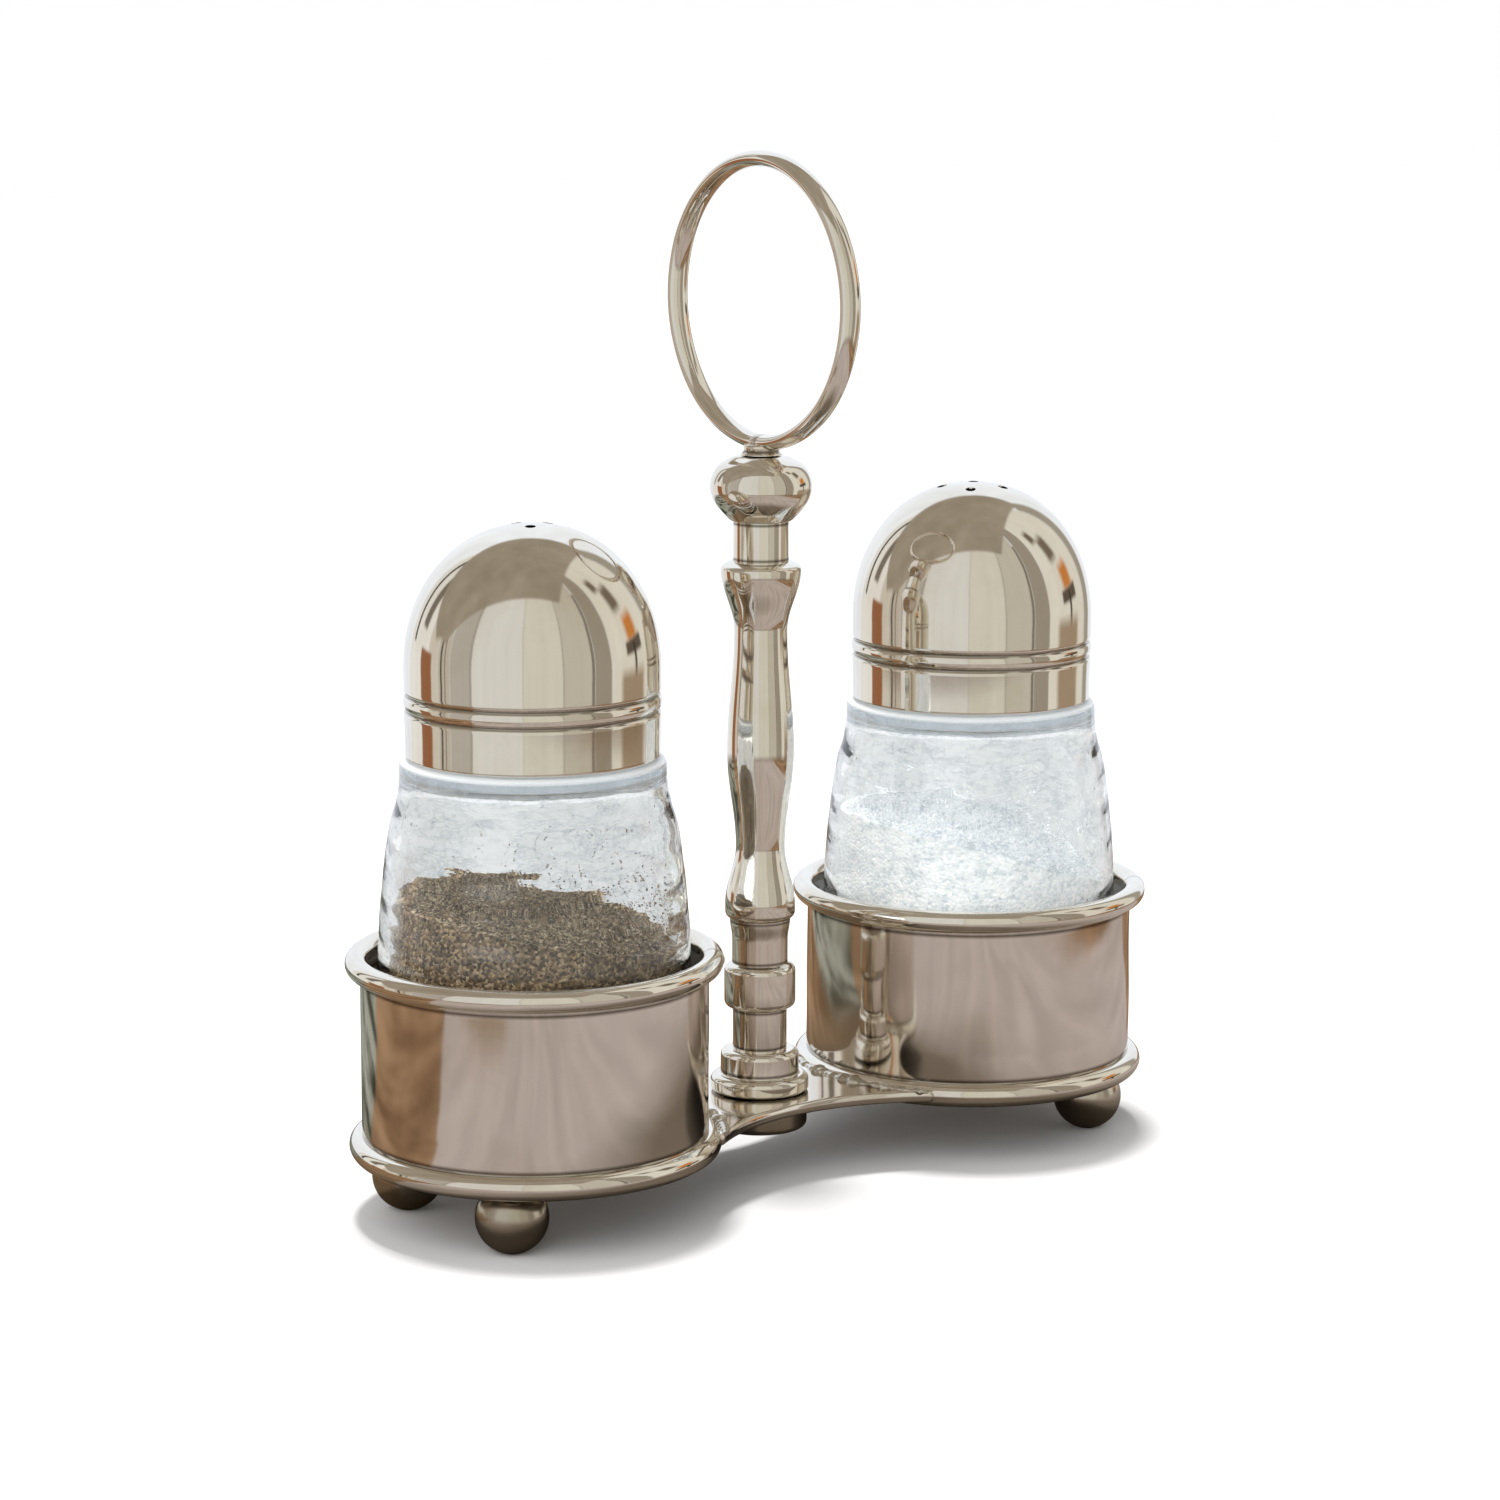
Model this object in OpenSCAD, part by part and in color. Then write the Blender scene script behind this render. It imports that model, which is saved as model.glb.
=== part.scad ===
// Salt and pepper shakers in a turned, nickel-plated caddy with a ring handle.
// Millimetres, +Z up. The origin is on the table under the post. The salt shaker
// stands at +X and the pepper shaker at -X.

/* [Caddy] */
// Distance between the axes of the two cups
cup_spacing = 101; // [90:1:120]
// Outer diameter of a cup's wall
cup_d = 62; // [62:0.5:64]
// Thickness of the spun cup sheet
cup_wall = 0.8; // [0.6:0.1:1]
// Height of a cup's underside above the table
cup_base_z = 15; // [15:0.1:15.4]
// Height of the rim wire's centre
rim_z = 46.7; // [42:0.1:50]
// Thickness of the rim wire
rim_wire_d = 4; // [3.6:0.1:4.4]
// Thickness of the wire under each cup
base_wire_d = 4.3; // [4:0.1:4.6]
// Height of the base wire's centre
base_ring_z = 13.6; // [13.4:0.1:13.8]

/* [Feet] */
// Diameter of a ball foot
foot_d = 13; // [12:0.5:13]
// Distance from the cup's axis to a foot
foot_circle_r = 23.4; // [20:0.1:23.5]
// Angle of a foot from the caddy's long axis
foot_angle = 45; // [35:1:55]

/* [Bridge plate] */
// Height of the plate's upper face
plate_top_z = 14.8; // [14.5:0.1:15]
// Thickness of the plate
plate_t = 2.1; // [1.8:0.1:2.4]
// Half width of the plate's waist
plate_waist = 13.3; // [12:0.1:16]
// Distance from the post to the plate's corners, along the long axis
plate_corner_x = 24; // [22:0.5:26]
// Half width of the plate at its corners
plate_corner_y = 21; // [19:0.5:22]

/* [Post] */
// Diameter of the threaded tie rod
rod_d = 4; // [3:0.5:5]
// Diameter of the nut under the plate
nut_d = 17.6; // [16:0.2:19]
// Height of the nut
nut_h = 4.8; // [4:0.1:6]

/* [Handle ring] */
// Outer diameter of the ring
ring_d = 53.8; // [48:0.2:60]
// Height of the ring's centre
ring_z = 161; // [161:0.1:170]
// Thickness of the ring's wire, across the ring's plane
ring_axial = 4.3; // [3.6:0.1:4.8]
// Thickness of the ring's wire, in the ring's plane
ring_radial = 2.9; // [2.4:0.1:3.2]

/* [Glass] */
// Widest diameter of the glass
glass_d = 56.2; // [55:0.1:57]
// Thickness of the blown wall
glass_wall = 2.4; // [2:0.1:2.8]
// Thickness of the base
glass_base_t = 4.5; // [4:0.1:5.5]
// Height of the glass lip
lip_z = 92.2; // [92.2:0.1:92.3]
// Outer diameter of the neck, under its thread
neck_d = 38.8; // [38.6:0.1:38.9]
// Diameter of the mouth
mouth_d = 33.2; // [32:0.1:34]

/* [Caps] */
// Outer diameter of the cap's skirt
cap_d = 45; // [44.8:0.1:45.2]
// Thickness of the cap's sheet metal
cap_wall = 0.7; // [0.6:0.1:0.8]
// Height of the skirt's lower edge
skirt_z = 83.9; // [83.9:0.1:84.1]
// Height at which the dome starts to curve in
dome_z = 99.2; // [98:0.1:101]
// Height of the dome above that
dome_h = 25.6; // [24:0.1:27]
// Advance of the cap's thread in one turn
thread_lead = 4.25; // [4:0.05:4.25]
// Diameter of a sprinkle hole
hole_d = 1.9; // [1.5:0.1:2.2]
// Number of holes in the salt cap's circle
salt_holes = 5; // [4:1:7]
// Number of holes in the pepper cap's circle
pepper_holes = 3; // [2:1:4]

/* [Filling] */
// Height of the pepper at the shaker's axis
pepper_level = 55; // [40:1:60]
// Slope of the pepper's top, in degrees
pepper_slope = 11; // [0:1:15]
// Height of the salt at the shaker's axis
salt_level = 58; // [40:1:62]
// Slope of the salt's top, in degrees
salt_slope = 16; // [0:1:18]

/* [Hidden] */
$fn = 96;
PEPPER = -1;
SALT = 1;
FRONT = -1;
BACK = 1;

cup_x = cup_spacing / 2;
cup_r = cup_d / 2;
floor_top_z = cup_base_z + cup_wall;
// the wires sit a little outside the sheet, so that their grooves hold its edges
rim_ring_r = cup_r + 0.7;
base_ring_r = cup_r + 0.2;

// cutters pass this far beyond what they cut
over = 1;
// a far corner, outside everything
far = 200;

plate_z = plate_top_z - plate_t;
plate_end_arc_r = base_ring_r + base_wire_d / 2;
sagitta = plate_corner_y - plate_waist;
waist_arc_r = (plate_corner_x * plate_corner_x + sagitta * sagitta) / (2 * sagitta);

rod_bore_r = rod_d / 2 + 0.05;
nut_z = plate_z - nut_h;
rod_z = nut_z + 1.5;
rod_top_z = 130;
base_top_z = 22.8;
column_top_z = 47.5;
baluster_top_z = 113.8;
neck_top_z = 121.4;
knob_top_z = 133.4;
collar_top_z = 135.3;
collar_r = 3.3;
ring_line_r = ring_d / 2 - ring_radial / 2;

// clearance between the shaker's resting glass and the cup's floor
rest_gap = 0.1;
glass_z = floor_top_z + rest_gap;
glass_r = glass_d / 2;
glass_corner = 9;
neck_r = neck_d / 2;
mouth_r = mouth_d / 2;

skirt_r = cap_d / 2;
dome_r = skirt_r + 0.15;
cap_bore_r = skirt_r - cap_wall;
groove_depth = 0.35;
groove_half = 0.5;
groove_z = [92.2, 95];
dome_power = 2.1;
hole_circle_r = 6;
pepper_circle_r = 3.2;
hole_turn = 9;
pepper_turn = -128;

seal_gap = 0.1;
seal_t = 1;
seal_z = lip_z + seal_gap;
seal_r = 20;
flange_z = seal_z + seal_t + seal_gap;
liner_top_z = flange_z + 1.2;
liner_z = skirt_z + 0.5;
liner_bore_r = neck_r + 1;
ridge_depth = 0.7;
ridge_base = 1.3;
ridge_crest = 0.6;
ridge_z = 86;
ridge_buried = 0.4;
glass_ridge_turns = 1.2;
liner_ridge_turns = 1.1;
ridge_steps = 20;

fill_gap = 0.1;
// the fillings lean towards the front right
fill_lean_dir = -38;

SILVER = [0.78, 0.75, 0.7];
SATIN = [0.7, 0.67, 0.62];
CLEAR = [0.8, 0.88, 0.9, 0.35];
PEPPER_GREY = [0.36, 0.31, 0.25];
SALT_WHITE = [0.94, 0.95, 0.96];
SEAL_WHITE = [0.85, 0.85, 0.82];
LINER_GREY = [0.6, 0.6, 0.6];

// a point on an arc about c, in the plane of a turned profile
function arc_point(c, r, a) = [c[0] + r * cos(a), c[1] + r * sin(a)];
// an arc about c from angle a0 to angle a1, in n steps
function arc(c, r, a0, a1, n) = [for (i = [0:n]) arc_point(c, r, a0 + (a1 - a0) * i / n)];
// an S-shaped blend from profile point p to q, level with the axis at both ends
function ease(p, q, n) = [
    for (i = [0:n - 1])
        [p[0] + (q[0] - p[0]) * (1 - cos(180 * i / n)) / 2, p[1] + (q[1] - p[1]) * i / n]
];
// the smooth curve through a, b, c and d, from b to c, t from 0 to 1
function spline_point(a, b, c, d, t) =
    0.5 * (2 * b + (c - a) * t + (2 * a - 5 * b + 4 * c - d) * t * t
        + (3 * b - a - 3 * c + d) * t * t * t);
// a smooth curve through every point of list p, n steps between neighbours
function spline(p, n) = [
    for (i = [0:len(p) - 2], k = [0:n - 1])
        spline_point(p[max(i - 1, 0)], p[i], p[i + 1], p[min(i + 2, len(p) - 1)], k / n),
    p[len(p) - 1]
];
function reversed(p) = [for (i = [len(p) - 1:-1:0]) p[i]];

module turned(points) {
    rotate_extrude() polygon(points);
}

module at_cup(side) {
    translate([side * cup_x, 0, 0]) children();
}

// a wire of diameter d bent round a circle of radius r at height z
module wire_ring(r, d, z) {
    translate([0, 0, z]) rotate_extrude() translate([r, 0]) circle(d = d);
}

// a stack of a post: the bore for the tie rod is cut through it
module rod_bore(z0, z1) {
    difference() {
        children();
        translate([0, 0, z0 - over]) cylinder(r = rod_bore_r, h = z1 - z0 + 2 * over);
    }
}

// ---------- caddy ----------

module cup(side) {
    color(SILVER) at_cup(side) turned([
        [0, cup_base_z], [cup_r, cup_base_z], [cup_r, rim_z],
        [cup_r - cup_wall, rim_z], [cup_r - cup_wall, floor_top_z], [0, floor_top_z]
    ]);
}

module cup_rim(side) {
    color(SILVER) at_cup(side) difference() {
        wire_ring(rim_ring_r, rim_wire_d, rim_z);
        translate([0, 0, rim_z - rim_wire_d]) difference() {
            cylinder(r = cup_r, h = rim_wire_d);
            translate([0, 0, -over])
                cylinder(r = cup_r - cup_wall, h = rim_wire_d + 2 * over);
        }
    }
}

module base_ring(side) {
    color(SILVER) at_cup(side) difference() {
        wire_ring(base_ring_r, base_wire_d, base_ring_z);
        translate([0, 0, cup_base_z]) cylinder(r = cup_r, h = base_wire_d);
    }
}

// a flat plate with two hollow-curved long sides, cut round to meet the base rings
module bridge_plate() {
    color(SILVER) difference() {
        translate([0, 0, plate_z]) linear_extrude(plate_t) difference() {
            square([2 * plate_corner_x + 8, 2 * plate_corner_y], center = true);
            for (s = [FRONT, BACK])
                translate([0, s * (plate_waist + waist_arc_r)]) circle(r = waist_arc_r);
        }
        for (side = [PEPPER, SALT])
            at_cup(side) translate([0, 0, plate_z - over])
                cylinder(r = plate_end_arc_r, h = plate_t + 2 * over);
        translate([0, 0, plate_z - over]) cylinder(r = rod_bore_r, h = plate_t + 2 * over);
    }
}

module foot(side, end) {
    stem_r = 3;
    ball_r = foot_d / 2;
    ball_z = ball_r - 0.2;
    color(SATIN) at_cup(side)
        rotate(side * end * foot_angle) translate([side * foot_circle_r, 0, 0])
            intersection() {
                union() {
                    translate([0, 0, ball_z]) sphere(r = ball_r);
                    translate([0, 0, ball_z]) cylinder(r = stem_r, h = cup_base_z - ball_z);
                }
                cylinder(r = 2 * ball_r, h = cup_base_z);
            }
}

module base_nut() {
    edge = 1.2;
    r = nut_d / 2;
    color(SILVER) difference() {
        turned(concat([[0, plate_z], [0, nut_z]],
            arc([r - edge, nut_z + edge], edge, -90, 0, 4), [[r, plate_z]]));
        translate([0, 0, rod_z]) cylinder(r = rod_bore_r, h = nut_h);
    }
}

// ---------- post ----------

module post_base() {
    lower_r = 9.1;
    upper_r = 7.25;
    step_z = 18.1;
    edge = 1.2;
    foot_edge = 0.9;
    color(SILVER) rod_bore(plate_top_z, base_top_z) turned(concat(
        [[0, plate_top_z]],
        arc([lower_r - foot_edge, plate_top_z + foot_edge], foot_edge, -90, 0, 4),
        arc([lower_r - edge, step_z - edge], edge, 0, 90, 4),
        [[upper_r, step_z]],
        arc([upper_r - edge, base_top_z - edge], edge, 0, 90, 4),
        [[0, base_top_z]]
    ));
}

module post_column() {
    lower_r = 5;
    collar_out_r = 6.6;
    upper_r = 5.15;
    flare_r = 5.6;
    edge = 1.3;
    collar_z = [30.7, 38.9];
    color(SILVER) rod_bore(base_top_z, column_top_z) turned(concat(
        [[0, base_top_z], [lower_r, base_top_z], [lower_r, collar_z[0]]],
        arc([collar_out_r - edge, collar_z[0] + edge], edge, -90, 0, 4),
        arc([collar_out_r - edge, collar_z[1] - edge], edge, 0, 90, 4),
        [[upper_r, collar_z[1]]],
        ease([upper_r, column_top_z - 4], [flare_r, column_top_z], 5),
        [[flare_r, column_top_z], [0, column_top_z]]
    ));
}

module post_baluster() {
    bulge = [6.46, 50.2];
    waist = [4.5, 61.1];
    belly = [6.17, 79];
    upper_waist = [4.9, 101.2];
    flange = [7.4, 112.4];
    color(SILVER) rod_bore(column_top_z, baluster_top_z) turned(concat(
        [[0, column_top_z], [5.7, column_top_z]],
        arc([bulge[0] - 1.2, column_top_z + 1.3], 1.2, -60, -20, 3),
        ease(bulge, waist, 8),
        ease(waist, belly, 8),
        ease(belly, upper_waist, 8),
        ease(upper_waist, flange, 8),
        arc([flange[0] - 1, flange[1]], 1, 0, 75, 4),
        [[5.9, baluster_top_z], [0, baluster_top_z]]
    ));
}

module post_neck() {
    r = 5.1;
    color(SILVER) rod_bore(baluster_top_z, neck_top_z) turned([
        [0, baluster_top_z], [r, baluster_top_z], [r, neck_top_z], [0, neck_top_z]
    ]);
}

module post_knob() {
    color(SILVER) difference() {
        turned(concat([[0, neck_top_z], [5.6, neck_top_z]], spline([
            [5.9, 121.6], [7.6, 123.4], [8.8, 125.2], [9.35, 127.3],
            [9, 129.5], [7.8, 131.4], [5.6, 132.7], [4, 133.2]
        ], 3), [[0, knob_top_z]]));
        translate([0, 0, neck_top_z - over]) cylinder(r = rod_bore_r, h = rod_top_z - neck_top_z + over);
    }
}

module tie_rod() {
    color(SATIN) translate([0, 0, rod_z]) cylinder(r = rod_d / 2, h = rod_top_z - rod_z);
}

// the oval wire of the handle, bent round a circle whose axis is X
module ring_wire() {
    translate([0, 0, ring_z]) rotate([0, 90, 0]) rotate_extrude()
        polygon([for (a = [0:15:345])
            [ring_line_r + ring_radial / 2 * cos(a), ring_axial / 2 * sin(a)]]);
}

module ring_collar() {
    edge = 0.6;
    color(SILVER) difference() {
        turned(concat([[0, knob_top_z], [collar_r + 0.5, knob_top_z - 0.05]],
            arc([collar_r - edge, collar_top_z - edge], edge, 0, 90, 4), [[0, collar_top_z]]));
        ring_wire();
    }
}

module handle_ring() {
    color(SILVER) ring_wire();
}

// ---------- shakers ----------

// the helical ridge of a thread; section is its outline at the start, anticlockwise
module ridge(section, turns) {
    steps = round(turns * ridge_steps);
    n = len(section);
    points = [
        for (i = [0:steps], p = section)
            let (a = 360 * i / ridge_steps)
            [p[0] * cos(a), p[0] * sin(a), p[1] + thread_lead * i / ridge_steps]
    ];
    sides = [
        for (i = [0:steps - 1], j = [0:n - 1], half = [0, 1])
            let (a = i * n + j, b = i * n + (j + 1) % n)
            half == 0 ? [a, b, b + n] : [a, b + n, a + n]
    ];
    ends = [
        [for (j = [n - 1:-1:0]) j],
        [for (j = [0:n - 1]) steps * n + j]
    ];
    translate([0, 0, ridge_z]) polyhedron(points, concat(sides, ends));
}

// the outside of the glass from the edge of its base up to under the cap's skirt
glass_side = concat(
    arc([glass_r - glass_corner, glass_z + glass_corner], glass_corner, -90, 0, 6),
    spline([
        [glass_r, 40], [glass_r - 0.35, 51], [glass_r - 0.85, 58], [glass_r - 1.8, 66.6],
        [glass_r - 2.7, 72], [glass_r - 3.7, 75.4], [glass_r - 4.3, 79], [glass_r - 4.5, 82]
    ], 3)
);
shoulder_z = skirt_z - 0.5;
cavity_z = glass_z + glass_base_t;
cavity_r = glass_r - glass_wall;
cavity_corner = 7.5;
// the cavity from its floor up to the mouth
cavity_side = concat(
    arc([cavity_r - cavity_corner, cavity_z + cavity_corner], cavity_corner, -90, 0, 6),
    spline([
        [cavity_r, 42], [cavity_r - 0.5, 52], [cavity_r - 1.8, 66], [cavity_r - 3.4, 74.5],
        [cavity_r - 6, 79.5], [mouth_r, 84]
    ], 3)
);

module glass(side) {
    lip = 0.8;
    inward = ridge_buried;
    color(CLEAR) at_cup(side) union() {
        turned(concat(
            [[0, glass_z]], glass_side,
            [[glass_r - 4.9, shoulder_z - 0.4], [glass_r - 6, shoulder_z],
             [neck_r + 0.6, shoulder_z], [neck_r, shoulder_z + 0.6]],
            arc([neck_r - lip, lip_z - lip], lip, 0, 90, 3),
            arc([mouth_r + lip, lip_z - lip], lip, 90, 180, 3),
            reversed(cavity_side), [[0, cavity_z]]
        ));
        ridge([
            [neck_r - inward, -ridge_base / 2], [neck_r + ridge_depth, -ridge_crest / 2],
            [neck_r + ridge_depth, ridge_crest / 2], [neck_r - inward, ridge_base / 2]
        ], glass_ridge_turns);
    }
}

// the filling takes the cavity's shape, less a hair, below a sloping top
module fill(side, level, slope, tint) {
    color(tint) at_cup(side) intersection() {
        turned(concat(
            [[0, cavity_z + fill_gap]],
            [for (p = cavity_side) [p[0] - fill_gap, max(p[1], cavity_z + fill_gap)]],
            [[0, lip_z]]
        ));
        rotate(fill_lean_dir) translate([0, 0, level]) rotate([0, slope, 0])
            translate([-far / 2, -far / 2, -far]) cube([far, far, far]);
    }
}

module cap_seal(side) {
    color(SEAL_WHITE) at_cup(side) translate([0, 0, seal_z]) difference() {
        cylinder(r = seal_r, h = seal_t);
        translate([0, 0, -over]) cylinder(r = mouth_r, h = seal_t + 2 * over);
    }
}

// the threaded ring inside the cap, whose flange presses the seal on the lip
module cap_liner(side) {
    outward = ridge_buried;
    crest_r = liner_bore_r - ridge_depth + 0.15;
    color(LINER_GREY) at_cup(side) union() {
        turned([
            [liner_bore_r, liner_z], [cap_bore_r, liner_z], [cap_bore_r, liner_top_z],
            [mouth_r, liner_top_z], [mouth_r, flange_z], [liner_bore_r, flange_z]
        ]);
        rotate(180) ridge([
            [crest_r, -ridge_crest / 2], [liner_bore_r + outward, -ridge_base / 2],
            [liner_bore_r + outward, ridge_base / 2], [crest_r, ridge_crest / 2]
        ], liner_ridge_turns);
    }
}

// a dome between flat-topped and round: r and h are its half width and its height
function dome_curve(r, h, n) = [
    for (i = [0:n]) let (a = 90 * i / n)
        [r * pow(cos(a), 2 / dome_power), dome_z + h * pow(sin(a), 2 / dome_power)]
];
// an incised groove round the cap, read upwards
function groove(z) = [
    [dome_r, z - groove_half], [dome_r - groove_depth, z - groove_half / 3],
    [dome_r - groove_depth, z + groove_half / 3], [dome_r, z + groove_half]
];

module cap_dome(side, holes, circle_r, turn, centre_hole) {
    color(SILVER) at_cup(side) difference() {
        turned(concat(
            [[cap_bore_r, skirt_z], [skirt_r - 0.2, skirt_z], [skirt_r, skirt_z + 0.2]],
            groove(groove_z[0]), [[dome_r + 0.1, (groove_z[0] + groove_z[1]) / 2]],
            groove(groove_z[1]),
            dome_curve(dome_r, dome_h, 14),
            reversed(dome_curve(cap_bore_r, dome_h - cap_wall, 14))
        ));
        rotate(turn) for (i = [0:holes - 1])
            rotate(360 * i / holes) translate([circle_r, 0, dome_z])
                cylinder(d = hole_d, h = 2 * dome_h);
        if (centre_hole) translate([0, 0, dome_z]) cylinder(d = hole_d, h = 2 * dome_h);
    }
}

cup(PEPPER);  // pepper_cup
cup(SALT);  // salt_cup
cup_rim(PEPPER);  // pepper_cup_rim
cup_rim(SALT);  // salt_cup_rim
base_ring(PEPPER);  // pepper_base_ring
base_ring(SALT);  // salt_base_ring
bridge_plate();
foot(PEPPER, FRONT);  // pepper_front_foot
foot(PEPPER, BACK);  // pepper_back_foot
foot(SALT, FRONT);  // salt_front_foot
foot(SALT, BACK);  // salt_back_foot
post_base();
post_column();
post_baluster();
post_neck();
post_knob();
ring_collar();
handle_ring();
tie_rod();
base_nut();
glass(PEPPER);  // pepper_glass
fill(PEPPER, pepper_level, pepper_slope, PEPPER_GREY);  // pepper_fill
cap_seal(PEPPER);  // pepper_cap_seal
cap_liner(PEPPER);  // pepper_cap_liner
cap_dome(PEPPER, pepper_holes, pepper_circle_r, pepper_turn, false);  // pepper_cap_dome
glass(SALT);  // salt_glass
fill(SALT, salt_level, salt_slope, SALT_WHITE);  // salt_fill
cap_seal(SALT);  // salt_cap_seal
cap_liner(SALT);  // salt_cap_liner
cap_dome(SALT, salt_holes, hole_circle_r, hole_turn, true);  // salt_cap_dome
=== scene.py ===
import logging
import math
from collections.abc import Callable, Sequence
from dataclasses import dataclass, replace
from enum import Enum

import bpy
import numpy as np
from mathutils import Matrix, Vector


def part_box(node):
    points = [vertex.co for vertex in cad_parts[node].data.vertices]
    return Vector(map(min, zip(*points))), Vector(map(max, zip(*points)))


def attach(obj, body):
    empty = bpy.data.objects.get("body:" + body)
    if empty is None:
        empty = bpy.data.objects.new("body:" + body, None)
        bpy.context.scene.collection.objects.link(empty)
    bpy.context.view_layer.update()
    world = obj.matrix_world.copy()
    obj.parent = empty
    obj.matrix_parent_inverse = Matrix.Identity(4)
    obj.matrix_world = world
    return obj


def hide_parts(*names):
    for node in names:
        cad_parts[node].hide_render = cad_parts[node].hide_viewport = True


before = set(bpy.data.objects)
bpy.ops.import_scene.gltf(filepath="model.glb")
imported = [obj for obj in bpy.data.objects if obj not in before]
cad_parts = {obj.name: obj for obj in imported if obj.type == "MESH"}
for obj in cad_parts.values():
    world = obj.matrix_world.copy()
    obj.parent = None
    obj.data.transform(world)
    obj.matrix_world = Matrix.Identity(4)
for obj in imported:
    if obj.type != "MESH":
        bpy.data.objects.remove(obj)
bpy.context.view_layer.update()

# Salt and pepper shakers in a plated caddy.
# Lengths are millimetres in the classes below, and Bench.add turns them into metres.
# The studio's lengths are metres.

MM = 0.001
TAU = 2 * math.pi
SHARP_ANGLE = math.radians(32)
LOG = logging.getLogger("caddy")

Array = np.ndarray
Colour = tuple[float, float, float]
Swell = Callable[[Array, Array], Array]


class Side(Enum):
    """The two places in the caddy, with the sign of X at each."""

    PEPPER = -1
    SALT = 1

    @property
    def word(self) -> str:
        """The name that the side's nodes and bodies start with."""
        return self.name.lower()


# ---------------------------------------------------------------- shader graphs


class Val:
    """A shader socket that can be used in sums."""

    def __init__(self, graph: "Graph", socket: bpy.types.NodeSocket) -> None:
        """Keeps the graph and the output socket."""
        self.graph = graph
        self.socket = socket

    def _math(self, operation: str, *terms: "Val | float") -> "Val":
        """Adds one Math node.

        Args:
            operation: the node's operation.
            terms: its inputs, in order.

        Returns:
            The node's result.
        """
        values = dict(enumerate(terms))
        return self.graph.node("ShaderNodeMath", {"operation": operation}, values)

    def __add__(self, other: "Val | float") -> "Val":
        """self + other."""
        return self._math("ADD", self, other)

    def __sub__(self, other: "Val | float") -> "Val":
        """self - other."""
        return self._math("SUBTRACT", self, other)

    def __mul__(self, other: "Val | float") -> "Val":
        """self * other."""
        return self._math("MULTIPLY", self, other)

    def __truediv__(self, other: "Val | float") -> "Val":
        """self / other."""
        return self._math("DIVIDE", self, other)

    def __rsub__(self, other: float) -> "Val":
        """other - self."""
        return self._math("SUBTRACT", other, self)

    __radd__ = __add__
    __rmul__ = __mul__

    def clamped(self) -> "Val":
        """The value held between 0 and 1."""
        return self.graph.node("ShaderNodeClamp", {}, {"Value": self})

    def over(self, level: float, soft: float) -> "Val":
        """0 below a level and 1 above it, with a ramp of width soft between."""
        return ((self - level) / soft + 0.5).clamped()

    def absolute(self) -> "Val":
        """The value without its sign."""
        return self._math("ABSOLUTE", self)

    def root(self) -> "Val":
        """The square root."""
        return self._math("SQRT", self)

    def angle_to(self, other: "Val") -> "Val":
        """The angle of the point (other, self) in degrees."""
        return self._math("ARCTAN2", self, other) * math.degrees(1)


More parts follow.
